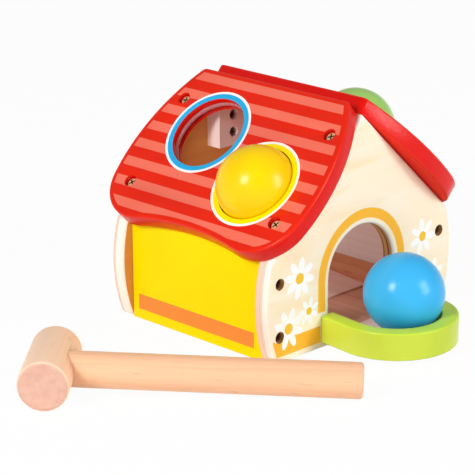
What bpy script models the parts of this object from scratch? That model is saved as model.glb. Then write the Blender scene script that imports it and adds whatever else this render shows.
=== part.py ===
"""Pounding house toy: a wooden house with balls that a hammer drives through holes in its roof."""

import math

import bmesh
import bpy
from mathutils import Matrix, Vector

for old in list(bpy.data.objects):
    bpy.data.objects.remove(old, do_unlink=True)

mm = 0.001

# Fits: the clearance between fixed pieces, under screw heads and under a ball
GAP = 0.3 * mm
SEAT = 0.2 * mm
BALL_SEAT = 0.15 * mm

# Balls and the soft rings that hold them
BALL_R = 22.3 * mm
HOLE_R = BALL_R + 0.4 * mm
RING_WIRE_R = 1.8 * mm
RING_DEPTH = 5.8 * mm
BALL_SUNK = 2.3 * mm
RING_DROP = RING_DEPTH - BALL_SUNK
RING_R = math.sqrt((BALL_R + RING_WIRE_R + BALL_SEAT) ** 2 - RING_DROP**2)
GROOVE_R = RING_R + RING_WIRE_R + GAP
GROOVE_HALF = RING_WIRE_R + GAP

# House body
LENGTH = 120.0 * mm
GABLE_T = 9.0 * mm
WALL_X = 68.4 * mm
WALL_T = 7.5 * mm
SLOPE = math.radians(43.0)
RIDGE_Z = 124.8 * mm
BULGE_R = 84.0 * mm
BULGE_X = 75.4 * mm
BULGE_Z = 33.0 * mm
GABLE_EDGE_R = 2.0 * mm
FOOT_FILLET = 4.5 * mm
EAVE_FILLET = 4.0 * mm
DOOR_HALF = 26.15 * mm
DOOR_SPRING_Z = 37.0 * mm
INNER_Y = LENGTH / 2 - GABLE_T
INNER_X = WALL_X - WALL_T

# Floor pieces
BASE_T = 7.2 * mm
STRIP_REACH = 15.0 * mm
STRIP_H = 8.0 * mm
STRIP_NOSE = 0.9 * mm
RAMP_START_Y = -22.0 * mm
RAMP_NOSE = 0.8 * mm

# Roof boards, along the slope from where their undersides meet
ROOF_T = 10.0 * mm
ROOF_EDGE_R = 1.2 * mm
ROOF_UNDER_R = 1.0 * mm
ROOF_EASE = ROOF_UNDER_R * (1 - math.sqrt(0.5))
ROOF_TOP_U = (GAP / 2 - ROOF_EASE * math.sin(SLOPE)) / math.cos(SLOPE) - ROOF_EASE
ROOF_TOP_FILLET = 4.0 * mm
LOBE_R = 27.0 * mm
LOBE_Y = LENGTH / 2 - 16.4 * mm
LOBE_U = 73.1 * mm
FLANK_R = 112.6 * mm
FLANK_U = 58.9 * mm
EAVE_U = 95.5 * mm
LOW_HOLE_Y = -(INNER_Y - BALL_R - 0.4 * mm)
LOW_HOLE_U = 60.5 * mm
HIGH_HOLE_Y = 24.0 * mm
HIGH_HOLE_U = 38.2 * mm
ROOF_SCREW_Y = LENGTH / 2 - GABLE_T / 2
ROOF_SCREW_US = {"upper": 21.5 * mm, "lower": 79.1 * mm}

# Tray in front of the door
TRAY_REACH = 24.0 * mm
TRAY_Y = -(LENGTH / 2 + TRAY_REACH)
FENCE_OUT_R = 34.8 * mm
FENCE_IN_R = 25.4 * mm
FENCE_LOW_Z = 3.6 * mm
FENCE_TOP_Z = 19.0 * mm
FENCE_EDGE_R = 1.0 * mm
FENCE_PINCH = math.radians(6.0)
PIN_R = 1.5 * mm
PIN_REACH = 7.0 * mm
PIN_X = DOOR_HALF + 3.65 * mm
PIN_Z = 11.6 * mm
BALL_ASIDE = 3.5 * mm
BALL_AHEAD = 3.4 * mm
TRAY_BALL = Vector((BALL_ASIDE, TRAY_Y - BALL_AHEAD, BASE_T + BALL_R + BALL_SEAT))

# Screws
HEAD_R = 3.0 * mm
HEAD_H = 1.8 * mm
SHANK_R = 1.4 * mm
SCREW_TIP = 2.5 * mm
CROSS_ARM = 1.8 * mm
CROSS_W = 0.7 * mm
CROSS_DEPTH = 0.9 * mm
PILOT_R = SHANK_R + 0.15 * mm
ROOF_BORE_R = 3.6 * mm
ROOF_BORE = 4.0 * mm
GABLE_BORE_R = 3.3 * mm
GABLE_BORE = 4.5 * mm
SCREW_BITE = 12.0 * mm
BLOCK_BITE = 6.0 * mm
GABLE_SCREW_X = WALL_X - WALL_T / 2
GABLE_SCREW_ZS = {"upper": 44.9 * mm, "lower": 15.1 * mm}

# Blocks under the ridge: a slim one at the front, where a ball passes, and a thick one at the rear
BLOCK_HALF = {"front": 7.0 * mm, "rear": 11.2 * mm}
BLOCK_ASIDE = {"front": 0.0 * mm, "rear": 2.0 * mm}
BLOCK_T = {"front": 5.5 * mm, "rear": 10.0 * mm}
BLOCK_BORE = {"front": 1.0 * mm, "rear": 4.0 * mm}
BLOCK_DROP = {"front": 32.8 * mm, "rear": 36.8 * mm}
BLOCK_SCREW_DROP = {"front": 17.3 * mm, "rear": 18.8 * mm}
BLOCK_SCREW_PITCH = 10.1 * mm

# Hammer, lying beside the house on its head and the end of its handle
HAMMER_AT = Vector((-175.2 * mm, -2.5 * mm, 0.0))
HAMMER_TURN = math.radians(-48.5)
HEAD_RADIUS = 13.5 * mm
HEAD_LENGTH = 54.0 * mm
HEAD_EDGE_R = 2.0 * mm
HANDLE_R = 9.5 * mm
HANDLE_REACH = 161.0 * mm
HANDLE_EDGE_R = 2.0 * mm
SOCKET_PAST = 4.0 * mm

# Facets round each kind of circle
BALL_SEGMENTS = 24
BALL_RINGS = 14
HOLE_SEGMENTS = 36
WIRE_SEGMENTS = 6
SCREW_SEGMENTS = 8
TURNED_SEGMENTS = 28
EDGE_STEPS = 2

UP = Vector((0.0, 0.0, 1.0))


def paint(name, colour, roughness, metallic=0.0):
    """A plain Principled material."""
    material = bpy.data.materials.new(name)
    material.use_nodes = True
    shader = material.node_tree.nodes["Principled BSDF"]
    shader.inputs["Base Color"].default_value = (*colour, 1.0)
    shader.inputs["Roughness"].default_value = roughness
    shader.inputs["Metallic"].default_value = metallic
    return material


PLYWOOD = paint("plywood", (0.86, 0.72, 0.52), 0.5)
YELLOW = paint("yellow paint", (1.0, 0.74, 0.0), 0.4)
RED = paint("red paint", (0.78, 0.03, 0.01), 0.35)
GREEN = paint("green paint", (0.55, 0.68, 0.07), 0.35)
CLEAR = paint("clear soft plastic", (0.7, 0.7, 0.7), 0.3)
PALE_WOOD = paint("pale wood", (0.8, 0.6, 0.4), 0.55)
BEECH = paint("beech", (0.9, 0.6, 0.38), 0.5)
STEEL = paint("screw steel", (0.6, 0.55, 0.45), 0.35, 1.0)
BALL_COLOURS = {
    "blue": (0.07, 0.46, 0.85),
    "yellow": (1.0, 0.66, 0.0),
    "green": (0.33, 0.6, 0.12),
    "red": (0.75, 0.04, 0.02),
}


def arc(centre, radius, start, end, steps):
    """Points on an arc, angles in degrees, both ends included."""
    points = []
    for i in range(steps + 1):
        angle = math.radians(start + (end - start) * i / steps)
        points.append(Vector((centre[0] + radius * math.cos(angle), centre[1] + radius * math.sin(angle))))
    return points


def filleted(before, corner, after, radius, steps):
    """The corner between two straight runs, rounded."""
    to_before = (before - corner).normalized()
    to_after = (after - corner).normalized()
    half = to_before.angle(to_after) / 2
    bisector = (to_before + to_after).normalized()
    centre = corner + bisector * (radius / math.sin(half))
    first = corner + to_before * (radius / math.tan(half)) - centre
    last = corner + to_after * (radius / math.tan(half)) - centre
    turn = first.angle_signed(last)
    points = []
    for i in range(steps + 1):
        spin = Matrix.Rotation(-turn * i / steps, 2)
        points.append(centre + spin @ first)
    return points


def inset(outline, amount):
    """A counter-clockwise outline moved inwards."""
    count = len(outline)
    moved = []
    for i in range(count):
        coming = (outline[i] - outline[i - 1]).normalized()
        going = (outline[(i + 1) % count] - outline[i]).normalized()
        left_a = Vector((-coming.y, coming.x))
        left_b = Vector((-going.y, going.x))
        miter = (left_a + left_b) / (1.0 + left_a.dot(left_b))
        moved.append(outline[i] + miter * amount)
    return moved


def lofted(rows):
    """A closed body through rows of equal count, capped at both ends."""
    body = bmesh.new()
    loops = []
    for row in rows:
        loops.append([body.verts.new(point) for point in row])
    for low, high in zip(loops, loops[1:]):
        for i in range(len(low)):
            j = (i + 1) % len(low)
            body.faces.new((low[i], low[j], high[j], high[i]))
    body.faces.new(list(reversed(loops[0])))
    body.faces.new(loops[-1])
    return body


def quarter(radius):
    """Steps of a rounded rim: how far it is pulled in, and its height, from the face to the side."""
    if not radius:
        return [(0.0, 0.0)]
    steps = []
    for k in range(EDGE_STEPS + 1):
        angle = math.pi / 2 * k / EDGE_STEPS
        steps.append((radius * (1 - math.sin(angle)), radius * (1 - math.cos(angle))))
    return steps


def plate(outline, thickness, top_radius=0.0, under_radius=0.0):
    """A board of this outline on its local XY plane, its rims rounded over."""
    levels = quarter(under_radius)
    for pulled_in, height in reversed(quarter(top_radius)):
        levels.append((pulled_in, thickness - height))
    rows = []
    for pulled_in, height in levels:
        rows.append([(p.x, p.y, height) for p in inset(outline, pulled_in)])
    return lofted(rows)


def turned(profile, segments):
    """A body of revolution about local Z, from a profile of (radius, height) that rises from axis to axis."""
    body = bmesh.new()
    rows = []
    for radius, height in profile:
        if radius == 0.0:
            rows.append([body.verts.new((0.0, 0.0, height))])
            continue
        row = []
        for i in range(segments):
            angle = 2 * math.pi * i / segments
            row.append(body.verts.new((radius * math.cos(angle), radius * math.sin(angle), height)))
        rows.append(row)
    for low, high in zip(rows, rows[1:]):
        for i in range(segments):
            j = (i + 1) % segments
            if len(low) == 1:
                body.faces.new((low[0], high[j], high[i]))
            elif len(high) == 1:
                body.faces.new((low[i], low[j], high[0]))
            else:
                body.faces.new((low[i], low[j], high[j], high[i]))
    return body


def hoop(radius, wire_radius, around, across):
    """A round wire bent into a ring about local Z."""
    body = bmesh.new()
    rows = []
    for i in range(around):
        turn = 2 * math.pi * i / around
        row = []
        for k in range(across):
            angle = 2 * math.pi * k / across
            reach = radius + wire_radius * math.cos(angle)
            point = (reach * math.cos(turn), reach * math.sin(turn), wire_radius * math.sin(angle))
            row.append(body.verts.new(point))
        rows.append(row)
    for i in range(around):
        here = rows[i]
        there = rows[(i + 1) % around]
        for k in range(across):
            m = (k + 1) % across
            body.faces.new((here[k], there[k], there[m], here[m]))
    return body


def rounded_rod(radius, low, high, edge_radius):
    """The profile of a turned rod with both rims eased."""
    profile = [(0.0, low)]
    for pulled_in, height in quarter(edge_radius):
        profile.append((radius - pulled_in, low + height))
    for pulled_in, height in reversed(quarter(edge_radius)):
        profile.append((radius - pulled_in, high - height))
    profile.append((0.0, high))
    return profile


def along(direction, position):
    """The matrix that stands local Z along a direction."""
    turn = UP.rotation_difference(direction).to_matrix().to_4x4()
    return Matrix.Translation(position) @ turn


def frame(x_axis, y_axis, z_axis, position):
    """The matrix of three axes and a place."""
    turn = Matrix((x_axis, y_axis, z_axis)).transposed().to_4x4()
    return Matrix.Translation(position) @ turn


def add(name, body, matrix, material):
    """An object that becomes a node."""
    data = bpy.data.meshes.new(name)
    body.to_mesh(data)
    body.free()
    data.materials.append(material)
    made = bpy.data.objects.new(name, data)
    made.matrix_world = matrix
    bpy.context.collection.objects.link(made)
    return made


def cut(target, tools):
    """Subtracts placed bodies, given as (body, matrix) pairs, in one Boolean."""
    joined = bmesh.new()
    for body, matrix in tools:
        body.transform(matrix)
        shell = bpy.data.meshes.new("shell")
        body.to_mesh(shell)
        body.free()
        joined.from_mesh(shell)
        bpy.data.meshes.remove(shell)
    tool = add(target.name + " cutter", joined, Matrix.Identity(4), STEEL)
    tool.hide_render = True
    tool.display_type = "WIRE"
    step = target.modifiers.new("holes", "BOOLEAN")
    step.operation = "DIFFERENCE"
    step.solver = "EXACT"
    step.object = tool


def screw_hole(bore_radius, bore_depth, shank):
    """The cutter of a counterbored screw, with its seat at local zero."""
    deep = -(shank + GAP)
    above = bore_depth + 1.0 * mm
    profile = [(0.0, deep), (PILOT_R, deep), (PILOT_R, -SEAT)]
    profile += [(bore_radius, -SEAT), (bore_radius, above), (0.0, above)]
    return turned(profile, SCREW_SEGMENTS)


def screw_mesh(name, shank):
    """A pan-head wood screw with a cross recess, its seat at local zero."""
    profile = [(0.0, -shank), (SHANK_R, SCREW_TIP - shank), (SHANK_R, 0.0), (HEAD_R, 0.0)]
    profile += [(HEAD_R, 0.55 * HEAD_H), (0.7 * HEAD_R, HEAD_H), (0.0, HEAD_H)]
    blank = add(name + " blank", turned(profile, SCREW_SEGMENTS), Matrix.Identity(4), STEEL)
    tall = HEAD_H + 1.0 * mm
    low = HEAD_H - CROSS_DEPTH
    half = CROSS_W / 2
    cross = [(CROSS_ARM, -half), (CROSS_ARM, half), (half, half)]
    cross += [(half, CROSS_ARM), (-half, CROSS_ARM), (-half, half)]
    cross += [(-x, -y) for x, y in cross]
    recess = plate([Vector(point) for point in cross], tall - low)
    cut(blank, [(recess, Matrix.Translation((0.0, 0.0, low)))])
    graph = bpy.context.evaluated_depsgraph_get()
    finished = bpy.data.meshes.new_from_object(blank.evaluated_get(graph))
    finished.name = name
    tool = blank.modifiers[0].object
    bpy.data.objects.remove(blank, do_unlink=True)
    bpy.data.objects.remove(tool, do_unlink=True)
    return finished


def add_screw(name, data, matrix):
    """One screw of a kind."""
    made = bpy.data.objects.new(name, data)
    made.matrix_world = matrix
    bpy.context.collection.objects.link(made)


# Roof frames: local X runs along the house, local Y down the slope, local Z out of the roof
HALF_TURN = Matrix.Rotation(math.pi, 4, "Z")
DOWN = Vector((-math.cos(SLOPE), 0.0, -math.sin(SLOPE)))
OUT = Vector((-math.sin(SLOPE), 0.0, math.cos(SLOPE)))
LEFT_ROOF = frame(Vector((0.0, 1.0, 0.0)), DOWN, OUT, Vector((0.0, 0.0, RIDGE_Z)))
ROOFS = {"left": LEFT_ROOF, "right": HALF_TURN @ LEFT_ROOF}
HOLES = {"high": (HIGH_HOLE_Y, HIGH_HOLE_U), "low": (LOW_HOLE_Y, LOW_HOLE_U)}

# Screw kinds and places
ROOF_SHANK = ROOF_T - ROOF_BORE + SCREW_BITE
GABLE_SHANK = GABLE_T - GABLE_BORE + SCREW_BITE
ENDS = {"front": Matrix.Identity(4), "rear": HALF_TURN}
BLOCK_SHANK = {end: BLOCK_T[end] - BLOCK_BORE[end] + BLOCK_BITE for end in ENDS}
roof_sites = {}
for side, roof in ROOFS.items():
    for end, sign in (("front", -1), ("rear", 1)):
        way = sign if side == "left" else -sign
        for level, u in ROOF_SCREW_US.items():
            spot = Matrix.Translation((way * ROOF_SCREW_Y, u, ROOF_T - ROOF_BORE + SEAT))
            roof_sites[f"roof_screw_{side}_{end}_{level}"] = roof @ spot
gable_sites = {}
block_sites = {}
FACING = Vector((0.0, -1.0, 0.0))
for end, turn in ENDS.items():
    for side, sign in (("left", -1), ("right", 1)):
        way = sign if end == "front" else -sign
        for level, z in GABLE_SCREW_ZS.items():
            spot = Vector((way * GABLE_SCREW_X, -(LENGTH / 2 - GABLE_BORE + SEAT), z))
            gable_sites[f"gable_screw_{end}_{side}_{level}"] = turn @ along(FACING, spot)
    block_face = INNER_Y - GAP - BLOCK_T[end]
    for level, step in (("upper", 0), ("lower", 1)):
        z = RIDGE_Z - BLOCK_SCREW_DROP[end] - step * BLOCK_SCREW_PITCH
        spot = Vector((-BLOCK_ASIDE[end], SEAT - block_face - BLOCK_BORE[end], z))
        block_sites[f"block_screw_{end}_{level}"] = turn @ along(-FACING, spot)


def holes_for(sites, words, bore_radius, bore_depth, shank):
    """Cutters for the screws whose names hold all these words."""
    found = []
    for name, matrix in sites.items():
        if all(word in name.split("_") for word in words):
            found.append((screw_hole(bore_radius, bore_depth, shank), matrix))
    return found


# Roof boards: tangent arcs for the flanks, the lobes at the corners and the lifted eave
flank_y = LOBE_Y - math.sqrt((FLANK_R - LOBE_R) ** 2 - (LOBE_U - FLANK_U) ** 2)
drop = EAVE_U - LOBE_U
lift_r = (LOBE_Y**2 + drop**2 - LOBE_R**2) / (2 * (LOBE_R - drop))
lift_u = EAVE_U + lift_r
flank_join = math.degrees(math.atan2(LOBE_U - FLANK_U, LOBE_Y - flank_y))
lift_join = math.degrees(math.atan2(lift_u - LOBE_U, -LOBE_Y))
flank_top = math.degrees(math.asin((ROOF_TOP_U - FLANK_U) / FLANK_R))
flank = arc((flank_y, FLANK_U), FLANK_R, flank_top, flank_join, 9)
top_corner = filleted(Vector((0.0, ROOF_TOP_U)), flank[0], flank[1], ROOF_TOP_FILLET, 3)
right_half = top_corner + flank[1:-1]
right_half += arc((LOBE_Y, LOBE_U), LOBE_R, flank_join, lift_join, 9)
lift_angle = math.degrees(math.asin((LOBE_Y - LOBE_R * LOBE_Y / (lift_r + LOBE_R)) / lift_r))
eave = arc((0.0, lift_u), lift_r, -90.0 + lift_angle, -90.0 - lift_angle, 8)
left_half = [Vector((-p.x, p.y)) for p in reversed(right_half)]
roof_outline = right_half + eave[1:-1] + left_half
lip = ROOF_T - RING_DEPTH
for side, roof in ROOFS.items():
    board = add(f"{side}_roof_panel", plate(roof_outline, ROOF_T, ROOF_EDGE_R, ROOF_UNDER_R), roof, RED)
    tools = holes_for(roof_sites, (side,), ROOF_BORE_R, ROOF_BORE, ROOF_SHANK)
    for y, u in HOLES.values():
        bore = [(0.0, -1.0 * mm), (HOLE_R, -1.0 * mm), (HOLE_R, lip - GROOVE_HALF)]
        bore += [(GROOVE_R, lip - GROOVE_HALF), (GROOVE_R, lip + GROOVE_HALF), (HOLE_R, lip + GROOVE_HALF)]
        bore += [(HOLE_R, ROOF_T + 1.0 * mm), (0.0, ROOF_T + 1.0 * mm)]
        tools.append((turned(bore, HOLE_SEGMENTS), roof @ Matrix.Translation((y, u, 0.0))))
    cut(board, tools)

# Soft rings in their grooves, and the balls on three of them
RINGS = {
    "blue": ("left", "high"),
    "yellow": ("left", "low"),
    "green": ("right", "high"),
    "red": ("right", "low"),
}
for colour, (side, hole) in RINGS.items():
    y, u = HOLES[hole]
    ring_at = ROOFS[side] @ Matrix.Translation((y, u, lip))
    add(f"retaining_ring_{colour}", hoop(RING_R, RING_WIRE_R, HOLE_SEGMENTS, WIRE_SEGMENTS), ring_at, CLEAR)
    ball = bmesh.new()
    bmesh.ops.create_uvsphere(ball, u_segments=BALL_SEGMENTS, v_segments=BALL_RINGS, radius=BALL_R)
    ball_at = ROOFS[side] @ Matrix.Translation((y, u, ROOF_T - BALL_SUNK))
    if colour == "blue":
        ball_at = Matrix.Translation(TRAY_BALL)
    add(f"{colour}_ball", ball, ball_at, paint(f"{colour} paint", BALL_COLOURS[colour], 0.3))

# Gables: bulging sides, eave corners under the roof, a peak, and a doorway in the front one
peak = Vector((0.0, RIDGE_Z - GAP / math.cos(SLOPE)))
bulge_centre = (BULGE_X - BULGE_R, BULGE_Z)
foot_angle = math.degrees(math.asin(-BULGE_Z / BULGE_R))
reach = peak - Vector(bulge_centre)
slant = Vector((math.cos(SLOPE), -math.sin(SLOPE)))
along_slant = -reach.dot(slant) + math.sqrt(reach.dot(slant) ** 2 - reach.length_squared + BULGE_R**2)
eave_corner = peak + slant * along_slant
eave_angle = math.degrees(math.asin((eave_corner.y - BULGE_Z) / BULGE_R))
bulge = arc(bulge_centre, BULGE_R, foot_angle, eave_angle, 9)
side_run = filleted(Vector((0.0, 0.0)), bulge[0], bulge[1], FOOT_FILLET, 3) + bulge[1:-1]
side_run += filleted(bulge[-2], bulge[-1], peak, EAVE_FILLET, 3)
mirrored = [Vector((-p.x, p.y)) for p in reversed(side_run)]
doorway = [Vector((-DOOR_HALF, 0.0))] + arc((0.0, DOOR_SPRING_Z), DOOR_HALF, 180.0, 0.0, 16)
doorway += [Vector((DOOR_HALF, 0.0))]
gable_outlines = {"front": doorway + side_run + [peak] + mirrored, "rear": side_run + [peak] + mirrored}
pin_at = {"left": Vector((-PIN_X, 0.0, PIN_Z)), "right": Vector((PIN_X, 0.0, PIN_Z))}
PIN_HALF = PIN_REACH + GAP / 2
pin_mid = Vector((0.0, -(LENGTH / 2 + GAP / 2), 0.0))


def pin_holes():
    """Cutters for the two pins of the fence."""
    deep = PIN_HALF + GAP
    profile = [(0.0, -deep), (PIN_R + GAP / 2, -deep), (PIN_R + GAP / 2, deep), (0.0, deep)]
    return [(turned(profile, SCREW_SEGMENTS), along(FACING, pin_mid + spot)) for spot in pin_at.values()]


STAND = frame(Vector((1.0, 0.0, 0.0)), UP, FACING, Vector((0.0, -INNER_Y, 0.0)))
for end, turn in ENDS.items():
    blank = plate(gable_outlines[end], GABLE_T, GABLE_EDGE_R, GABLE_EDGE_R)
    gable = add(f"{end}_gable", blank, turn @ STAND, PLYWOOD)
    tools = holes_for(gable_sites, (end,), GABLE_BORE_R, GABLE_BORE, GABLE_SHANK)
    tools += holes_for(roof_sites, (end,), ROOF_BORE_R, ROOF_BORE, ROOF_SHANK)
    block_holes = (block_sites, (end,), HEAD_R + GAP, BLOCK_BORE[end], BLOCK_SHANK[end])
    tools += holes_for(*block_holes)
    if end == "front":
        tools += pin_holes()
    cut(gable, tools)

    # Block under the ridge, screwed to the gable from inside
    left = -BLOCK_ASIDE[end] - BLOCK_HALF[end]
    right = -BLOCK_ASIDE[end] + BLOCK_HALF[end]
    low = RIDGE_Z - BLOCK_DROP[end]
    profile = [(left, low), (right, low), (right, peak.y - right * math.tan(SLOPE))]
    profile += [(0.0, peak.y), (left, peak.y + left * math.tan(SLOPE))]
    face = Vector((0.0, BLOCK_T[end] + GAP - INNER_Y, 0.0))
    against = frame(Vector((1.0, 0.0, 0.0)), UP, FACING, face)
    body = plate([Vector(p) for p in profile], BLOCK_T[end])
    block = add(f"{end}_peak_block", body, turn @ against, PALE_WOOD)
    cut(block, holes_for(*block_holes))

# Side walls with bevelled tops, and the strips along their feet
ACROSS = frame(Vector((1.0, 0.0, 0.0)), UP, FACING, Vector((0.0, INNER_Y - GAP, 0.0)))
wall_run = 2 * (INNER_Y - GAP)
for side, turn in (("right", Matrix.Identity(4)), ("left", HALF_TURN)):
    section = [(INNER_X, 0.0), (WALL_X, 0.0), (WALL_X, peak.y - WALL_X * math.tan(SLOPE))]
    section.append((INNER_X, peak.y - INNER_X * math.tan(SLOPE)))
    wall = add(f"{side}_wall", plate([Vector(p) for p in section], wall_run), turn @ ACROSS, YELLOW)
    cut(wall, holes_for(gable_sites, (side,), GABLE_BORE_R, GABLE_BORE, GABLE_SHANK))
    floor_z = BASE_T + SEAT
    inside = INNER_X - GAP
    section = [(inside - STRIP_REACH, floor_z), (inside, floor_z), (inside, floor_z + STRIP_H)]
    section += [(inside - STRIP_NOSE, floor_z + STRIP_H), (inside - STRIP_REACH, floor_z + STRIP_NOSE)]
    add(f"{side}_guide_strip", plate([Vector(p) for p in section], wall_run), turn @ ACROSS, PALE_WOOD)

# Base board with a tongue in the doorway, and the wedge that tips the balls towards the door
tongue = DOOR_HALF - GAP
board_x = INNER_X - GAP
board_y = INNER_Y - GAP
base = [(-tongue, -LENGTH / 2), (tongue, -LENGTH / 2), (tongue, -board_y), (board_x, -board_y)]
base += [(board_x, board_y), (-board_x, board_y), (-board_x, -board_y), (-tongue, -board_y)]
add("base_board", plate([Vector(p) for p in base], BASE_T), Matrix.Identity(4), PALE_WOOD)
ramp_half = board_x - STRIP_REACH - GAP
ramp = [(RAMP_START_Y, floor_z), (board_y, floor_z)]
ramp += [(board_y, floor_z + STRIP_H), (RAMP_START_Y, floor_z + RAMP_NOSE)]
LENGTHWISE = frame(Vector((0.0, 1.0, 0.0)), UP, Vector((1.0, 0.0, 0.0)), Vector((-ramp_half, 0.0, 0.0)))
add("ramp_wedge", plate([Vector(p) for p in ramp], 2 * ramp_half), LENGTHWISE, PALE_WOOD)


# Tray: a bent rail round a thin floor, pinned to the gable
def tray_run(radius, steps):
    """Half-round front with legs that close in a little towards the gable, from right to left."""
    pinch = math.degrees(FENCE_PINCH)
    bend = arc((0.0, TRAY_Y), radius, pinch, -180 - pinch, steps)
    back = -LENGTH / 2 - GAP
    lean = (back - bend[0].y) * math.tan(FENCE_PINCH)
    return [Vector((bend[0].x - lean, back))] + bend + [Vector((lean - bend[0].x, back))]


outer_run = tray_run(FENCE_OUT_R, 20)
inner_run = tray_run(FENCE_IN_R, 20)
rail_h = FENCE_TOP_Z - FENCE_LOW_Z
rail = plate(list(reversed(outer_run)) + inner_run, rail_h, FENCE_EDGE_R, FENCE_EDGE_R)
fence = add("tray_fence", rail, Matrix.Translation((0.0, 0.0, FENCE_LOW_Z)), GREEN)
cut(fence, pin_holes())
tray = plate(list(reversed(tray_run(FENCE_IN_R - GAP, 20))), BASE_T - FENCE_LOW_Z)
add("tray_floor", tray, Matrix.Translation((0.0, 0.0, FENCE_LOW_Z)), PALE_WOOD)
for side, spot in pin_at.items():
    pin = turned(rounded_rod(PIN_R, -PIN_HALF, PIN_HALF, 0.4 * mm), SCREW_SEGMENTS)
    add(f"fence_pin_{side}", pin, along(FACING, pin_mid + spot), STEEL)

# Screws
screw_kinds = [("roof screw", roof_sites, ROOF_SHANK), ("gable screw", gable_sites, GABLE_SHANK)]
for end, shank in BLOCK_SHANK.items():
    own_sites = {name: matrix for name, matrix in block_sites.items() if end in name.split("_")}
    screw_kinds.append((f"{end} block screw", own_sites, shank))
for kind, sites, shank in screw_kinds:
    shape = screw_mesh(kind, shank)
    for name, matrix in sites.items():
        add_screw(name, shape, matrix)

# Hammer: a turned head with a blind socket, and its handle
heading = Vector((math.cos(HAMMER_TURN), math.sin(HAMMER_TURN), 0.0))
tilt = math.atan2(HEAD_RADIUS - HANDLE_R, HANDLE_REACH)
handle_way = heading * math.cos(tilt) - UP * math.sin(tilt)
head_way = Vector((-heading.y, heading.x, 0.0))
centre = HAMMER_AT + UP * HEAD_RADIUS
head_profile = rounded_rod(HEAD_RADIUS, -HEAD_LENGTH / 2, HEAD_LENGTH / 2, HEAD_EDGE_R)
head = add("hammer_head", turned(head_profile, TURNED_SEGMENTS), along(head_way, centre), BEECH)
socket = [(0.0, -SOCKET_PAST - GAP), (HANDLE_R + GAP, -SOCKET_PAST - GAP)]
socket += [(HANDLE_R + GAP, 2 * HEAD_RADIUS), (0.0, 2 * HEAD_RADIUS)]
cut(head, [(turned(socket, TURNED_SEGMENTS), along(handle_way, centre))])
handle_profile = rounded_rod(HANDLE_R, -SOCKET_PAST, HANDLE_REACH, HANDLE_EDGE_R)
add("hammer_handle", turned(handle_profile, TURNED_SEGMENTS), along(handle_way, centre), BEECH)
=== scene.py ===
# %% [markdown]
# A pounding house is a wooden toy: a small house whose roof has round holes, coloured balls that
# sit on soft rings in those holes, and a hammer that drives them through.
# The frame that is loaded here is the measured model. This lesson gives it its finished surface:
# each visible piece is modelled again with smooth curves, and then painted.

import math

import bmesh
import bpy
from mathutils import Matrix, Vector


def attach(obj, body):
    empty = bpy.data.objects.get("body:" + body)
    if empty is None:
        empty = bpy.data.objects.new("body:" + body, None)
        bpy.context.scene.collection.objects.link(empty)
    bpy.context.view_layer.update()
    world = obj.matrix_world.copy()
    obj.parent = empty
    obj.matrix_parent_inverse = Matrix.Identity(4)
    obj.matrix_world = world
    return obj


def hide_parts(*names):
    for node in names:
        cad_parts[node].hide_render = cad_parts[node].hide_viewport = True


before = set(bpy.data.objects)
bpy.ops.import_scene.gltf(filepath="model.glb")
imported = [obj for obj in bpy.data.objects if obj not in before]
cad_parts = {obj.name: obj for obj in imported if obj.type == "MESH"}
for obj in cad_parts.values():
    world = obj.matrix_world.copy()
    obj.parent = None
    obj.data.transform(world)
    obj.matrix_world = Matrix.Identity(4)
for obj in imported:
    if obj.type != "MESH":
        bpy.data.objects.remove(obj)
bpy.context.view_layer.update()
mm = 0.001

# %% [markdown]
# The camera comes first, because every later choice is judged through it.
# A long lens far from the toy gives the gentle perspective of a shop picture. The camera's matrix
# is set from where it looks from, what it looks at, and a small lean to one side.

# %% Camera
IMAGE_SIZE = 475
FOCAL_PIXELS = 2207.67
CAMERA_TARGET = Vector((-36.05, 0.0, 50.6)) * mm
CAMERA_FORWARD = Vector((0.6718, 0.6719, -0.3119)).normalized()
CAMERA_DISTANCE = 1217.37 * mm
CAMERA_LEAN = math.radians(-0.276)
UP = Vector((0.0, 0.0, 1.0))

eye = bpy.data.cameras.new("camera")
eye.sensor_width = 36.0
eye.lens = eye.sensor_width * FOCAL_PIXELS / IMAGE_SIZE
eye.clip_start = 0.1
eye.clip_end = 20.0
camera = bpy.data.objects.new("camera", eye)
bpy.context.collection.objects.link(camera)
level = CAMERA_FORWARD.cross(UP).normalized()
above = level.cross(CAMERA_FORWARD)
across = level * math.cos(CAMERA_LEAN) + above * math.sin(CAMERA_LEAN)
upwards = above * math.cos(CAMERA_LEAN) - level * math.sin(CAMERA_LEAN)
turn = Matrix((across, upwards, -CAMERA_FORWARD)).transposed().to_4x4()
camera.matrix_world = Matrix.Translation(CAMERA_TARGET - CAMERA_FORWARD * CAMERA_DISTANCE) @ turn
bpy.context.scene.camera = camera
bpy.context.scene.view_settings.view_transform = "Standard"
print("lens", round(eye.lens, 1), "mm")

# %% [markdown]
# Finishes, and the sky, are built from nodes. A few small helpers keep the node code readable: one
# makes a node and sets it, one does a sum or comparison, and one starts a material or a node group.
# Colours are written as they look on a screen, 0 to 255, and changed to the linear values that
# the shader wants.

# %% Node helpers
def linear(red, green, blue):
    """A screen colour as a linear RGBA colour, by the screen's own curve."""
    parts = []
    for part in (red, green, blue):
        share = part / 255.0
        parts.append(share / 12.92 if share <= 0.04045 else ((share + 0.055) / 1.055) ** 2.4)
    return (*parts, 1.0)


def put(tree, socket, value):
    """Links an output into a socket, or writes a plain value there."""
    if isinstance(value, bpy.types.NodeSocket):
        tree.links.new(value, socket)
    else:
        socket.default_value = value


def calc(tree, operation, first, second=0.0):
    """One Math node; gives its output."""
    node = tree.nodes.new("ShaderNodeMath")
    node.operation = operation
    put(tree, node.inputs[0], first)
    put(tree, node.inputs[1], second)
    return node.outputs[0]


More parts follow.
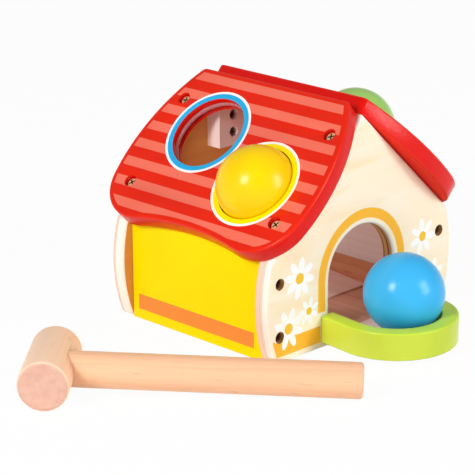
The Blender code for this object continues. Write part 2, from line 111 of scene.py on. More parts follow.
def mixed(tree, share, first, second, blend_type="MIX"):
    """One colour Mix node; gives its output."""
    node = tree.nodes.new("ShaderNodeMix")
    node.data_type = "RGBA"
    node.blend_type = blend_type
    put(tree, node.inputs["Factor"], share)
    put(tree, node.inputs[6], first)
    put(tree, node.inputs[7], second)
    return node.outputs[2]


def ranged(tree, value, low, high, to_low=0.0, to_high=1.0):
    """One Map Range node, clamped; gives its output."""
    node = tree.nodes.new("ShaderNodeMapRange")
    put(tree, node.inputs["Value"], value)
    node.inputs["From Min"].default_value = low
    node.inputs["From Max"].default_value = high
    node.inputs["To Min"].default_value = to_low
    node.inputs["To Max"].default_value = to_high
    return node.outputs["Result"]


def between(tree, value, low, high):
    """One where a value lies between two limits, else zero."""
    above_low = calc(tree, "GREATER_THAN", value, low)
    return calc(tree, "MULTIPLY", above_low, calc(tree, "LESS_THAN", value, high))


def distance(tree, first, second):
    """How far two offsets at right angles reach together."""
    squares = calc(tree, "MULTIPLY", second, second)
    node = tree.nodes.new("ShaderNodeMath")
    node.operation = "MULTIPLY_ADD"
    put(tree, node.inputs[0], first)
    put(tree, node.inputs[1], first)
    put(tree, node.inputs[2], squares)
    return calc(tree, "SQRT", node.outputs[0])


def noise(tree, vector, scale, detail=2.0):
    """One Noise node; gives its grey output."""
    node = tree.nodes.new("ShaderNodeTexNoise")
    node.inputs["Scale"].default_value = scale
    node.inputs["Detail"].default_value = detail
    put(tree, node.inputs["Vector"], vector)
    return node.outputs[0]


def stretched(tree, vector, scales, moved=(0.0, 0.0, 0.0)):
    """The coordinates, stretched along each axis and then moved."""
    node = tree.nodes.new("ShaderNodeMapping")
    node.inputs["Location"].default_value = moved
    node.inputs["Scale"].default_value = scales
    put(tree, node.inputs["Vector"], vector)
    return node.outputs[0]


def axes_of(tree, vector):
    """The three coordinates of a point."""
    node = tree.nodes.new("ShaderNodeSeparateXYZ")
    put(tree, node.inputs[0], vector)
    return tuple(node.outputs)


def seen_plainly(tree):
    """One for the rays of the camera, of reflections and of clear plastic, else zero."""
    rays = tree.nodes.new("ShaderNodeLightPath").outputs
    seen = calc(tree, "MAXIMUM", rays["Is Camera Ray"], rays["Is Glossy Ray"])
    return calc(tree, "MAXIMUM", seen, rays["Is Transmission Ray"])


def new_group(name, inputs, outputs):
    """An empty shader group with its sockets; gives the tree, its inside inputs and its outputs."""
    tree = bpy.data.node_groups.new(name, "ShaderNodeTree")
    kinds = {"vector": "NodeSocketVector", "colour": "NodeSocketColor", "value": "NodeSocketFloat"}
    for label, kind in inputs:
        tree.interface.new_socket(label, in_out="INPUT", socket_type=kinds[kind])
    for label, kind in outputs:
        tree.interface.new_socket(label, in_out="OUTPUT", socket_type=kinds[kind])
    inside = tree.nodes.new("NodeGroupInput")
    out = tree.nodes.new("NodeGroupOutput")
    return tree, inside.outputs, out.inputs


def use_group(tree, group, **values):
    """Places a group in a tree and fills its inputs; gives its outputs."""
    node = tree.nodes.new("ShaderNodeGroup")
    node.node_tree = group
    for label, value in values.items():
        put(tree, node.inputs[label.replace("_", " ")], value)
    return node.outputs


def new_finish(name, specular=0.5):
    """A material; gives it with its tree, its shader's inputs and the object coordinates."""
    material = bpy.data.materials.new(name)
    material.use_nodes = True
    tree = material.node_tree
    shader = tree.nodes["Principled BSDF"].inputs
    shader["Specular IOR Level"].default_value = specular
    coordinates = tree.nodes.new("ShaderNodeTexCoord").outputs["Object"]
    return material, tree, shader, coordinates


def local_frame(tree, coordinates, matrix):
    """Object coordinates as a placed piece's own coordinates, before it was turned and moved."""
    node = tree.nodes.new("ShaderNodeMapping")
    node.vector_type = "TEXTURE"
    node.inputs["Location"].default_value = matrix.to_translation()
    node.inputs["Rotation"].default_value = matrix.to_euler("XYZ")
    put(tree, node.inputs["Vector"], coordinates)
    return node.outputs[0]


def surfaced(tree, shader, colour, roughness, height, depth):
    """Feeds a shader its colour, its roughness and a bump, whose depth is in metres."""
    put(tree, shader["Base Color"], colour)
    put(tree, shader["Roughness"], roughness)
    node = tree.nodes.new("ShaderNodeBump")
    node.inputs["Strength"].default_value = 1.0
    node.inputs["Distance"].default_value = depth
    put(tree, node.inputs["Height"], height)
    put(tree, shader["Normal"], node.outputs[0])


print("node helpers ready")

# %% [markdown]
# The picture was lit by two soft boxes, which show as two pale windows on the balls: one to the
# left of the camera, one far to the right. A pale sky fills the rest. As in a studio with an unlit
# ceiling, it is white round the horizon and grey overhead, so shiny paint keeps its depth.
# A third, tiny lamp hangs inside, out of sight at the left wall, and stands for the light that is
# thrown about between the boards. The floor is a plain sheet that the camera sees as white paper,
# with only a little of the toy's shadow left on it.

# %% Soft boxes and sky
TOY_MIDDLE = Vector((-20.0, -20.0, 50.0)) * mm
BOX_DISTANCE = 1.25
SOFTBOXES = {
    "left soft box": (Vector((-0.856, -0.059, 0.513)), (0.30, 0.41), 10.2),
    "right soft box": (Vector((0.273, -0.891, 0.36)), (0.45, 0.62), 8.4),
}
INNER_LAMP_AT = Vector((-50.0, 5.0, 45.0)) * mm
INNER_LAMP_WAY = Vector((1.0, -0.05, -0.15))
INNER_LAMP_SIZE = (40.0 * mm, 40.0 * mm)
INNER_LAMP_WATTS = 0.022


def soft_lamp(name, location, facing, size, watts):
    """A flat lamp of a size at a place, facing a way."""
    lamp = bpy.data.lights.new(name, "AREA")
    lamp.shape = "RECTANGLE"
    lamp.size, lamp.size_y = size
    lamp.energy = watts
    box = bpy.data.objects.new(name, lamp)
    box.location = location
    box.rotation_mode = "QUATERNION"
    box.rotation_quaternion = facing.to_track_quat("-Z", "Y")
    bpy.context.collection.objects.link(box)
    return box


for name, (way, size, watts) in SOFTBOXES.items():
    soft_lamp(name, TOY_MIDDLE + way.normalized() * BOX_DISTANCE, -way, size, watts)
inner_lamp = soft_lamp("inner lamp", INNER_LAMP_AT, INNER_LAMP_WAY, INNER_LAMP_SIZE, INNER_LAMP_WATTS)
inner_lamp.visible_camera = False
inner_lamp.visible_glossy = False

FILL_STRENGTH = 0.62
CEILING_SHARE = 0.36
CEILING_HEIGHT = 0.35
WHITE = (1.0, 1.0, 1.0, 1.0)
sky = bpy.data.worlds.new("sky")
bpy.context.scene.world = sky
sky.use_nodes = True
tree = sky.node_tree
strength = ranged(tree, seen_plainly(tree), 0.0, 1.0, FILL_STRENGTH, 1.0)
_, _, height = axes_of(tree, tree.nodes.new("ShaderNodeTexCoord").outputs["Generated"])
ceiling = ranged(tree, height, 0.0, CEILING_HEIGHT, 1.0, CEILING_SHARE)
backdrop = tree.nodes["Background"].inputs
put(tree, backdrop["Strength"], calc(tree, "MULTIPLY", strength, ceiling))
put(tree, backdrop["Color"], WHITE)
print("soft boxes", len(SOFTBOXES))

# %% Floor
PAPER_SHARE = 0.96
PAPER_GREY = (0.94, 0.94, 0.94, 1.0)
PAPER_ROUGH = 0.9
PAPER_SHINE = 0.1
FLOOR_SIZE = 8.0
FLOOR_Z = -0.2 * mm
bpy.ops.object.select_all(action="DESELECT")
bpy.ops.mesh.primitive_plane_add(size=FLOOR_SIZE, location=(0.0, 0.0, FLOOR_Z))
floor = bpy.context.object
floor.name = "floor"
paper, tree, shader, _ = new_finish("paper", specular=PAPER_SHINE)
put(tree, shader["Base Color"], PAPER_GREY)
put(tree, shader["Roughness"], PAPER_ROUGH)
glow = tree.nodes.new("ShaderNodeEmission")
put(tree, glow.inputs["Strength"], 1.0)
blend = tree.nodes.new("ShaderNodeMixShader")
put(tree, blend.inputs["Fac"], calc(tree, "MULTIPLY", seen_plainly(tree), PAPER_SHARE))
put(tree, blend.inputs[1], tree.nodes["Principled BSDF"].outputs[0])
put(tree, blend.inputs[2], glow.outputs[0])
put(tree, tree.nodes["Material Output"].inputs["Surface"], blend.outputs[0])
floor.data.materials.append(paper)
print("floor", FLOOR_SIZE, "m")

# %% [markdown]
# Paint on a toy is never one flat colour. It is sprayed or dipped, so its tone drifts a little over
# a few centimetres, and its film keeps a faint skin like an orange's. This group gives any paint
# both: a drifting colour, a drifting roughness and a height for the bump.

# %% Paint film group
DRIFT_SCALE = 28.0
SKIN_SCALE = 900.0
SKIN_ROUGH = 0.08
PORE_SCALE = 420.0
PORE_STRETCH = (1.0, 0.15, 1.0)
PORE_SHARE = 0.8
SURFACE_OUT = [("Colour", "colour"), ("Roughness", "value"), ("Height", "value")]
paint_film, film_in, film_out = new_group(
    "paint film",
    [("Vector", "vector"), ("Colour", "colour"), ("Deep", "colour"), ("Gloss", "value")],
    SURFACE_OUT,
)
tree = paint_film
drift = ranged(tree, noise(tree, film_in["Vector"], DRIFT_SCALE), 0.35, 0.7)
skin = noise(tree, film_in["Vector"], SKIN_SCALE, 3.0)
pores = noise(tree, stretched(tree, film_in["Vector"], PORE_STRETCH), PORE_SCALE)
put(tree, film_out["Colour"], mixed(tree, drift, film_in["Colour"], film_in["Deep"]))
wander = calc(tree, "MULTIPLY", calc(tree, "SUBTRACT", skin, 0.5), SKIN_ROUGH)
put(tree, film_out["Roughness"], calc(tree, "ADD", film_in["Gloss"], wander))
pores = calc(tree, "MULTIPLY", pores, PORE_SHARE)
put(tree, film_out["Height"], calc(tree, "ADD", skin, pores))
print("paint film group", len(tree.nodes), "nodes")

# %% [markdown]
# Wood is a solid pattern: growth rings lie round a pith that is somewhere outside the piece, drawn
# out along the trunk. Cutting that solid gives long lines on the sides and arcs on the ends, so one
# group serves a handle, a board and an end face alike. Its grain runs along the local Z axis.

# %% Solid wood group
PITH_AT = (0.034, 0.021, 0.0)
TRUNK_STRETCH = (1.0, 1.0, 0.06)
WAVER_SCALE = 70.0
WAVER_RINGS = 2.2
YEAR_CURVE = 2.5
YEAR_SHARE = 0.55
FIBRE_STRETCH = (1.0, 1.0, 0.03)
FIBRE_SCALE = 900.0
FIBRE_SHARE = 0.5
RAY_STRETCH = (1.0, 1.0, 0.16)
RAY_SCALE = 620.0
RAY_SHARE = 0.5
solid_wood, wood_in, wood_out = new_group(
    "solid wood",
    [("Vector", "vector"), ("Rings", "value")] + [(tint, "colour") for tint in ("Light", "Dark", "Fleck")],
    SURFACE_OUT,
)
tree = solid_wood
trunk = stretched(tree, wood_in["Vector"], TRUNK_STRETCH, PITH_AT)
waver = calc(tree, "MULTIPLY", noise(tree, trunk, WAVER_SCALE), WAVER_RINGS)
x, y, _ = axes_of(tree, trunk)
phase = calc(tree, "MULTIPLY", distance(tree, x, y), wood_in["Rings"])
phase = calc(tree, "ADD", phase, waver)
year = calc(tree, "POWER", calc(tree, "FRACT", phase), YEAR_CURVE)
fibre = noise(tree, stretched(tree, wood_in["Vector"], FIBRE_STRETCH), FIBRE_SCALE, 3.0)
ray = noise(tree, stretched(tree, wood_in["Vector"], RAY_STRETCH), RAY_SCALE, 1.0)
ray = ranged(tree, ray, 0.66, 0.76)
year = calc(tree, "MULTIPLY", year, YEAR_SHARE)
tone = calc(tree, "ADD", year, calc(tree, "MULTIPLY", fibre, FIBRE_SHARE))
grown = mixed(tree, ranged(tree, tone, 0.15, 0.85), wood_in["Light"], wood_in["Dark"])
flecked = mixed(tree, calc(tree, "MULTIPLY", ray, RAY_SHARE), grown, wood_in["Fleck"])
put(tree, wood_out["Colour"], flecked)
put(tree, wood_out["Roughness"], ranged(tree, tone, 0.1, 0.9, 0.42, 0.56))
put(tree, wood_out["Height"], calc(tree, "SUBTRACT", fibre, ray))
print("solid wood group", len(tree.nodes), "nodes")

# %% [markdown]
# Modelling helpers. Blender's operators work on whatever is selected, so each step first clears the
# selection and then picks faces or edges by where they are.
# An outline is drawn with a pen: one point is left of a plane, extruding it draws a straight line,
# and spinning it round a centre draws an arc. In a script the spin turns clockwise, so the helper
# changes the sign.

# %% Pen and picking helpers
NEAR = 0.01 * mm
FLAT = 0.99
SHARP = math.radians(60.0)
EDGED_ANGLE = 35.0
ROUND_ANGLE = 80.0


def start_alone():
    """Object mode with nothing selected."""
    if bpy.context.mode != "OBJECT":
        bpy.ops.object.mode_set(mode="OBJECT")
    bpy.ops.object.select_all(action="DESELECT")


def hold(piece):
    """Object mode with one piece selected and active."""
    start_alone()
    piece.select_set(True)
    bpy.context.view_layer.objects.active = piece


def settle():
    """Writes the active object's place, turn and scale into its mesh."""
    bpy.ops.object.transform_apply(location=True, rotation=True, scale=True)


def named(name):
    """Names the new active object and its mesh."""
    piece = bpy.context.object
    piece.name = name
    piece.data.name = name
    return piece


def pick(piece, kind, wanted):
    """In edit mode, selects the vertices, edges or faces that pass a test; gives how many."""
    bpy.ops.mesh.select_mode(type=kind)
    bpy.ops.mesh.select_all(action="DESELECT")
    body = bmesh.from_edit_mesh(piece.data)
    body.normal_update()
    found = {"VERT": body.verts, "EDGE": body.edges, "FACE": body.faces}[kind]
    chosen = [part for part in found if wanted(part)]
    for part in chosen:
        part.select_set(True)
    body.select_flush_mode()
    bmesh.update_edit_mesh(piece.data)
    return len(chosen)


def merge_all():
    """In edit mode, merges doubles and leaves everything selected."""
    bpy.ops.mesh.select_all(action="SELECT")
    bpy.ops.mesh.remove_doubles(threshold=NEAR)
    bpy.ops.mesh.select_all(action="SELECT")


def draw_out(offset):
    """Extrudes what is selected by an offset."""
    bpy.ops.mesh.extrude_region_move(TRANSFORM_OT_translate={"value": offset})


def add_slots(piece):
    """Gives a piece two empty paint slots."""
    piece.data.materials.append(None)
    piece.data.materials.append(None)


def fill_slot(piece, slot, wanted):
    """In edit mode, gives the faces that pass a test to a paint slot; gives how many."""
    count = pick(piece, "FACE", wanted)
    piece.active_material_index = slot
    bpy.ops.object.material_slot_assign()
    return count


def dress(piece, material):
    """Gives a piece one finish all over."""
    piece.data.materials.clear()
    piece.data.materials.append(material)


def pen(name, x, y):
    """Starts an outline at a point and leaves the pen there, in edit mode."""
    start_alone()
    bpy.ops.mesh.primitive_plane_add(size=1.0 * mm)
    piece = named(name)
    bpy.ops.object.mode_set(mode="EDIT")
    bpy.ops.mesh.select_mode(type="VERT")
    bpy.ops.mesh.select_all(action="SELECT")
    bpy.ops.mesh.merge(type="CENTER")
    bpy.ops.transform.translate(value=(x, y, 0.0))
    return piece


def pen_line(piece, x, y):
    """Draws a straight line to a point."""
    body = bmesh.from_edit_mesh(piece.data)
    here = next(vertex.co.copy() for vertex in body.verts if vertex.select)
    draw_out((x - here.x, y - here.y, 0.0))


def pen_arc(x, y, degrees, steps):
    """Draws an arc round a centre, counter-clockwise where the angle is positive."""
    turned = -math.radians(degrees)
    bpy.ops.mesh.spin(steps=steps, angle=turned, center=(x, y, 0.0), axis=(0.0, 0.0, 1.0))


def board_from_pen(piece, thickness):
    """Closes the outline, fills it and extrudes it to a board."""
    merge_all()
    bpy.ops.mesh.edge_face_add()
    draw_out((0.0, 0.0, thickness))
    bpy.ops.mesh.select_all(action="SELECT")
    bpy.ops.mesh.normals_make_consistent(inside=False)


def round_rim(piece, height, radius, segments):
    """Rounds over the sharp rim of a board at one height."""
    def on_rim(edge):
        flat = all(abs(vertex.co.z - height) < NEAR for vertex in edge.verts)
        return flat and edge.is_manifold and edge.calc_face_angle(0.0) > SHARP

    count = pick(piece, "EDGE", on_rim)
    bpy.ops.mesh.bevel(offset=radius, segments=segments, profile=0.5, affect="EDGES")
    return count


def drilled(piece, drills):
    """Cuts round holes, given as (matrix, radius, low, high, sides), with one Boolean."""
    start_alone()
    bits = []
    for matrix, radius, low, high, sides in drills:
        bpy.ops.mesh.primitive_cylinder_add(vertices=sides, radius=radius, depth=high - low)
        bits.append(bpy.context.object)
        bits[-1].matrix_world = matrix @ Matrix.Translation((0.0, 0.0, (low + high) / 2))
    start_alone()
    for bit in bits:
        bit.select_set(True)
    bpy.context.view_layer.objects.active = bits[0]
    if len(bits) > 1:
        bpy.ops.object.join()
    combined(piece, bits[0], "DIFFERENCE")


def combined(piece, tool, operation):
    """Cuts a tool out of a piece, or joins it on, and removes the tool."""
    hold(piece)
    step = piece.modifiers.new("cut", "BOOLEAN")
    step.operation = operation
    step.solver = "EXACT"
    step.object = tool
    bpy.ops.object.modifier_apply(modifier=step.name)
    bpy.data.objects.remove(tool, do_unlink=True)


def copied(piece, name):
    """A copy with its own mesh."""
    hold(piece)
    bpy.ops.object.duplicate(linked=False)
    return named(name)


def placed(piece, matrix, smooth_angle=EDGED_ANGLE):
    """Puts a piece in its place, writes the place into its mesh, and smooths its curves."""
    hold(piece)
    piece.matrix_world = matrix
    settle()
    bpy.ops.object.shade_smooth_by_angle(angle=math.radians(smooth_angle))
    return piece


def stands_for(piece, body, slot, *nodes):
    """Ties a piece to its body and hides the CAD nodes that it replaces; its record slot is not used."""
    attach(piece, body)
    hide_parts(*nodes)
    print(piece.name, len(piece.data.polygons), "faces on", body)


def framed(x_axis, y_axis, z_axis, position):
    """The matrix of three axes and a place."""
    return Matrix.Translation(position) @ Matrix((x_axis, y_axis, z_axis)).transposed().to_4x4()


def along(direction, position):
    """The matrix that stands local Z along a direction."""
    return Matrix.Translation(position) @ UP.rotation_difference(direction).to_matrix().to_4x4()


print("modelling helpers ready")

# %% [markdown]
# These sizes repeat the frame's own, so that each new piece lies where its node does: the roof's
# slope, the boards' thicknesses, the balls, their holes and the soft rings.

# %% Sizes of the house
GAP = 0.3 * mm
SLOPE = math.radians(43.0)
RIDGE_Z = 124.8 * mm
LENGTH = 120.0 * mm
GABLE_T = 9.0 * mm
INNER_Y = LENGTH / 2 - GABLE_T
WALL_X = 68.4 * mm
WALL_T = 7.5 * mm
ROOF_T = 10.0 * mm
BALL_R = 22.3 * mm
HOLE_ROOM = 0.4 * mm
HOLE_R = BALL_R + HOLE_ROOM
BALL_SUNK = 2.3 * mm
RING_WIRE_R = 1.8 * mm
RING_DEPTH = 5.8 * mm
RING_ROOM = 0.15 * mm
RING_R = math.sqrt((BALL_R + RING_WIRE_R + RING_ROOM) ** 2 - (RING_DEPTH - BALL_SUNK) ** 2)
HOLES = {"high": (24.0 * mm, 38.2 * mm), "low": (-28.3 * mm, 60.5 * mm)}
DOWN = Vector((-math.cos(SLOPE), 0.0, -math.sin(SLOPE)))
OUT = Vector((-math.sin(SLOPE), 0.0, math.cos(SLOPE)))
HALF_TURN = Matrix.Rotation(math.pi, 4, "Z")
LEFT_ROOF = framed(Vector((0.0, 1.0, 0.0)), DOWN, OUT, Vector((0.0, 0.0, RIDGE_Z)))
ROOFS = {"left": LEFT_ROOF, "right": HALF_TURN @ LEFT_ROOF}
print("roof slope", round(math.degrees(SLOPE)), "degrees")

# %% [markdown]
# Each roof board is sawn to a curved outline: bowed sides, round lobes at the lower corners, and an
# eave that lifts between them. All of these are arcs that run smoothly into each other, so the pen
# needs only their centres and angles. The board lies flat while it is worked on.

# %% Roof outline
ROOF_TOP_U = -0.361 * mm
TOP_FILLET = 4.0 * mm
LOBE_R = 27.0 * mm
LOBE_Y = 43.6 * mm
LOBE_U = 73.1 * mm
FLANK_R = 112.6 * mm
FLANK_U = 58.9 * mm
EAVE_U = 95.5 * mm
ROOF_EDGE_R = 1.2 * mm
ROOF_UNDER_R = 1.0 * mm
flank_y = LOBE_Y - math.sqrt((FLANK_R - LOBE_R) ** 2 - (LOBE_U - FLANK_U) ** 2)
drop = EAVE_U - LOBE_U
lift_r = (LOBE_Y**2 + drop**2 - LOBE_R**2) / (2 * (LOBE_R - drop))
lift_u = EAVE_U + lift_r
corner_u = ROOF_TOP_U + TOP_FILLET
corner_y = flank_y + math.sqrt((FLANK_R - TOP_FILLET) ** 2 - (corner_u - FLANK_U) ** 2)
corner_end = math.degrees(math.atan2(corner_u - FLANK_U, corner_y - flank_y))
flank_end = math.degrees(math.atan2(LOBE_U - FLANK_U, LOBE_Y - flank_y))
lobe_end = math.degrees(math.atan2(lift_u - LOBE_U, -LOBE_Y))
lift_half = math.degrees(math.atan2(LOBE_Y, lift_u - LOBE_U))
side_arcs = [
    (corner_y, corner_u, 90.0 + corner_end, 6),
    (flank_y, FLANK_U, flank_end - corner_end, 20),
    (LOBE_Y, LOBE_U, lobe_end - flank_end, 24),
]

roof_board = pen("roof board", -corner_y, ROOF_TOP_U)
pen_line(roof_board, corner_y, ROOF_TOP_U)
for y, u, degrees, steps in side_arcs:
    pen_arc(y, u, degrees, steps)
pen_arc(0.0, lift_u, -2 * lift_half, 20)
for y, u, degrees, steps in reversed(side_arcs):
    pen_arc(-y, u, degrees, steps)
board_from_pen(roof_board, ROOF_T)
rim = round_rim(roof_board, ROOF_T, ROOF_EDGE_R, 4)
round_rim(roof_board, 0.0, ROOF_UNDER_R, 3)
print("roof rim edges", rim)

# %% [markdown]
# The stripes are printed on the flat top and stop a little short of its edge. Insetting the top face
# gives that margin, since an inset follows the outline. Bisecting the inner face at each stripe's
# edges then leaves faces that take their own paint slot: red is slot 0 and stripe is slot 1.

# %% Roof stripes
STRIPE_MARGIN = 1.8 * mm
STRIPE_FIRST_U = 2.3 * mm
STRIPE_PITCH = 12.47 * mm
STRIPE_W = 5.8 * mm
STRIPE_COUNT = 8
RED_SLOT, STRIPE_SLOT = 0, 1
hold(roof_board)
add_slots(roof_board)
bpy.ops.object.mode_set(mode="EDIT")


def on_top(face):
    """The flat upper faces of the board."""
    return face.normal.z > FLAT and abs(face.calc_center_median().z - ROOF_T) < NEAR


pick(roof_board, "FACE", on_top)
bpy.ops.mesh.inset(thickness=STRIPE_MARGIN, depth=0.0)
roof_board.active_material_index = STRIPE_SLOT
bpy.ops.object.material_slot_assign()
for stripe in range(STRIPE_COUNT):
    stripe_u = STRIPE_FIRST_U + stripe * STRIPE_PITCH
    for edge_u in (stripe_u, stripe_u + STRIPE_W):
        pick(roof_board, "FACE", lambda face: face.material_index == STRIPE_SLOT)
        bpy.ops.mesh.bisect(plane_co=(0.0, edge_u, 0.0), plane_no=(0.0, 1.0, 0.0))


def is_gap(face):
    """A face of the print between two stripes."""
    place = (face.calc_center_median().y - STRIPE_FIRST_U) % STRIPE_PITCH
    return face.material_index == STRIPE_SLOT and place > STRIPE_W


gaps = fill_slot(roof_board, RED_SLOT, is_gap)
bpy.ops.object.mode_set(mode="OBJECT")
print("gaps between stripes", gaps)

# %% [markdown]
# Two ball holes go through each board. A groove inside each one holds the soft ring, and four
# counterbores take the screws. Cylinders are subtracted for these, and the holes' upper edges are
# broken by a tiny bevel as sandpaper would.

# %% Roof holes
HOLE_SIDES = 128
BORE_SIDES = 40
SHANK_SIDES = 16
SHANK_R = 1.4 * mm
PILOT_R = SHANK_R + 0.15 * mm
HEAD_R = 3.0 * mm
HEAD_H = 1.8 * mm
ROOF_BORE = 4.0 * mm
ROOF_BORE_R = 3.6 * mm
SCREW_BITE = 12.0 * mm
ROOF_SCREW_Y = LENGTH / 2 - GABLE_T / 2
ROOF_SCREW_US = {"upper": 21.5 * mm, "lower": 79.1 * mm}
RING_W = ROOF_T - RING_DEPTH
GROOVE_R = RING_R + RING_WIRE_R + GAP
THROUGH = 2.0 * mm
screw_spots = [(sign * ROOF_SCREW_Y, u) for sign in (-1, 1) for u in ROOF_SCREW_US.values()]
through_holes = [(y, u, HOLE_R, HOLE_SIDES) for y, u in HOLES.values()]
through_holes += [(y, u, PILOT_R, SHANK_SIDES) for y, u in screw_spots]
drills = []
for y, u, radius, sides in through_holes:
    drills.append((Matrix.Translation((y, u, 0.0)), radius, -THROUGH, ROOF_T + THROUGH, sides))
drilled(roof_board, drills)
drills = []
for y, u in HOLES.values():
    spot = Matrix.Translation((y, u, RING_W))
    drills.append((spot, GROOVE_R, -RING_WIRE_R - GAP, RING_WIRE_R + GAP, HOLE_SIDES))
for y, u in screw_spots:
    drills.append((Matrix.Translation((y, u, ROOF_T)), ROOF_BORE_R, -ROOF_BORE, THROUGH, BORE_SIDES))
drilled(roof_board, drills)

BROKEN_EDGE = 0.15 * mm
MOUTH_NEAR = 0.05 * mm
round_places = [(y, u, HOLE_R) for y, u in HOLES.values()]
round_places += [(y, u, ROOF_BORE_R) for y, u in screw_spots]


def on_hole_edge(edge):
    """An edge of a hole's mouth on the board's top."""
    for vertex in edge.verts:
        if abs(vertex.co.z - ROOF_T) > NEAR:
            return False
        x, y, _ = vertex.co
        if min(abs(math.hypot(x - at_y, y - at_u) - r) for at_y, at_u, r in round_places) > MOUTH_NEAR:
            return False
    return edge.calc_face_angle(0.0) > SHARP


bpy.ops.object.mode_set(mode="EDIT")
mouths = pick(roof_board, "EDGE", on_hole_edge)
bpy.ops.mesh.bevel(offset=BROKEN_EDGE, segments=2, profile=0.5, affect="EDGES", material=RED_SLOT)
bpy.ops.object.mode_set(mode="OBJECT")
left_roof = placed(roof_board, Matrix.Identity(4))
left_roof.name = "left_roof"
right_roof = copied(left_roof, "right_roof")
placed(left_roof, ROOFS["left"])
placed(right_roof, ROOFS["right"])
stands_for(left_roof, "house", "red_paint", "left_roof_panel")
stands_for(right_roof, "house", "red_paint", "right_roof_panel")
print("hole mouth edges", mouths)

# %% [markdown]
# The gables are plywood, cut with bulging sides and a peak. The front one has an arched doorway.
# The pen draws either outline: foot fillet, bulge, eave fillet, straight to the peak, and the same
# on the other side. Each fillet touches the bulge and a straight edge, which fixes its centre.

# %% Gable outline
BULGE_R = 84.0 * mm
BULGE_X = 75.4 * mm
BULGE_Z = 33.0 * mm
FOOT_FILLET = 4.5 * mm
EAVE_FILLET = 4.0 * mm
DOOR_HALF = 26.15 * mm
DOOR_SPRING_Z = 37.0 * mm
GABLE_EDGE_R = 2.0 * mm
PEAK_Z = RIDGE_Z - GAP / math.cos(SLOPE)
bulge_x = BULGE_X - BULGE_R
foot_x = bulge_x + math.sqrt((BULGE_R - FOOT_FILLET) ** 2 - (BULGE_Z - FOOT_FILLET) ** 2)
foot_end = math.degrees(math.atan2(FOOT_FILLET - BULGE_Z, foot_x - bulge_x))
slant = Vector((math.cos(SLOPE), -math.sin(SLOPE)))
inward = Vector((-math.sin(SLOPE), -math.cos(SLOPE)))
eave_line = Vector((0.0, PEAK_Z)) + inward * EAVE_FILLET
reach = eave_line - Vector((bulge_x, BULGE_Z))
eave_run = -reach.dot(slant) + math.sqrt(
    reach.dot(slant) ** 2 - reach.length_squared + (BULGE_R - EAVE_FILLET) ** 2
)
eave_spot = eave_line + slant * eave_run
eave_start = math.degrees(math.atan2(eave_spot.y - BULGE_Z, eave_spot.x - bulge_x))
eave_end = 90.0 - math.degrees(SLOPE)
flank_arcs = [
    (foot_x, FOOT_FILLET, 90.0 + foot_end, 8),
    (bulge_x, BULGE_Z, eave_start - foot_end, 30),
    (eave_spot.x, eave_spot.y, eave_end - eave_start, 8),
]


def gable_blank(name, with_door):
    """A gable lying flat, its face upwards."""
    start_x = DOOR_HALF if with_door else 0.0
    piece = pen(name, start_x, 0.0)
    pen_line(piece, foot_x, 0.0)
    for x, z, degrees, steps in flank_arcs:
        pen_arc(x, z, degrees, steps)
    pen_line(piece, 0.0, PEAK_Z)
    touch = eave_spot - inward * EAVE_FILLET
    pen_line(piece, -touch.x, touch.y)
    for x, z, degrees, steps in reversed(flank_arcs):
        pen_arc(-x, z, degrees, steps)
    pen_line(piece, -start_x, 0.0)
    if with_door:
        pen_line(piece, -DOOR_HALF, DOOR_SPRING_Z)
        pen_arc(0.0, DOOR_SPRING_Z, -180.0, 48)
        pen_line(piece, DOOR_HALF, 0.0)
    board_from_pen(piece, GABLE_T)
    round_rim(piece, GABLE_T, GABLE_EDGE_R, 4)
    round_rim(piece, 0.0, GABLE_EDGE_R, 4)
    bpy.ops.object.mode_set(mode="OBJECT")
    return piece


front_gable = gable_blank("front_gable_board", True)
rear_gable = gable_blank("rear_gable_board", False)
print("gable outline points", len(front_gable.data.vertices))

# %% [markdown]
# Screws hold the gables to the walls from outside, sunk in counterbores that show as dark holes.
# Their places are worked out once, as matrices with local Z along each screw, and serve for the
# holes here and for the screws later. The rear gable is the front one's place turned half round.

# %% Screw places and gable holes
GABLE_BORE = 4.5 * mm
GABLE_BORE_R = 3.3 * mm
GABLE_SCREW_X = WALL_X - WALL_T / 2
GABLE_SCREW_ZS = {"upper": 44.9 * mm, "lower": 15.1 * mm}
BLOCK_T = {"front": 5.5 * mm, "rear": 10.0 * mm}
BLOCK_BORE = {"front": 1.0 * mm, "rear": 4.0 * mm}
BLOCK_ASIDE = {"front": 0.0, "rear": 2.0 * mm}
BLOCK_SCREW_DROP = {"front": 17.3 * mm, "rear": 18.8 * mm}
BLOCK_SCREW_PITCH = 10.1 * mm
BLOCK_BITE = 6.0 * mm
SEAT = 0.2 * mm
FACING = Vector((0.0, -1.0, 0.0))
STAND = framed(Vector((1.0, 0.0, 0.0)), UP, FACING, Vector((0.0, -INNER_Y, 0.0)))
ENDS = {"front": Matrix.Identity(4), "rear": HALF_TURN}
roof_sites = {}
for side, roof in ROOFS.items():
    for end, sign in (("front", -1), ("rear", 1)):
        way = sign if side == "left" else -sign
        for level_name, u in ROOF_SCREW_US.items():
            spot = Matrix.Translation((way * ROOF_SCREW_Y, u, ROOF_T - ROOF_BORE + SEAT))
            roof_sites[f"roof_screw_{side}_{end}_{level_name}"] = roof @ spot
gable_sites = {}
block_sites = {"front": {}, "rear": {}}
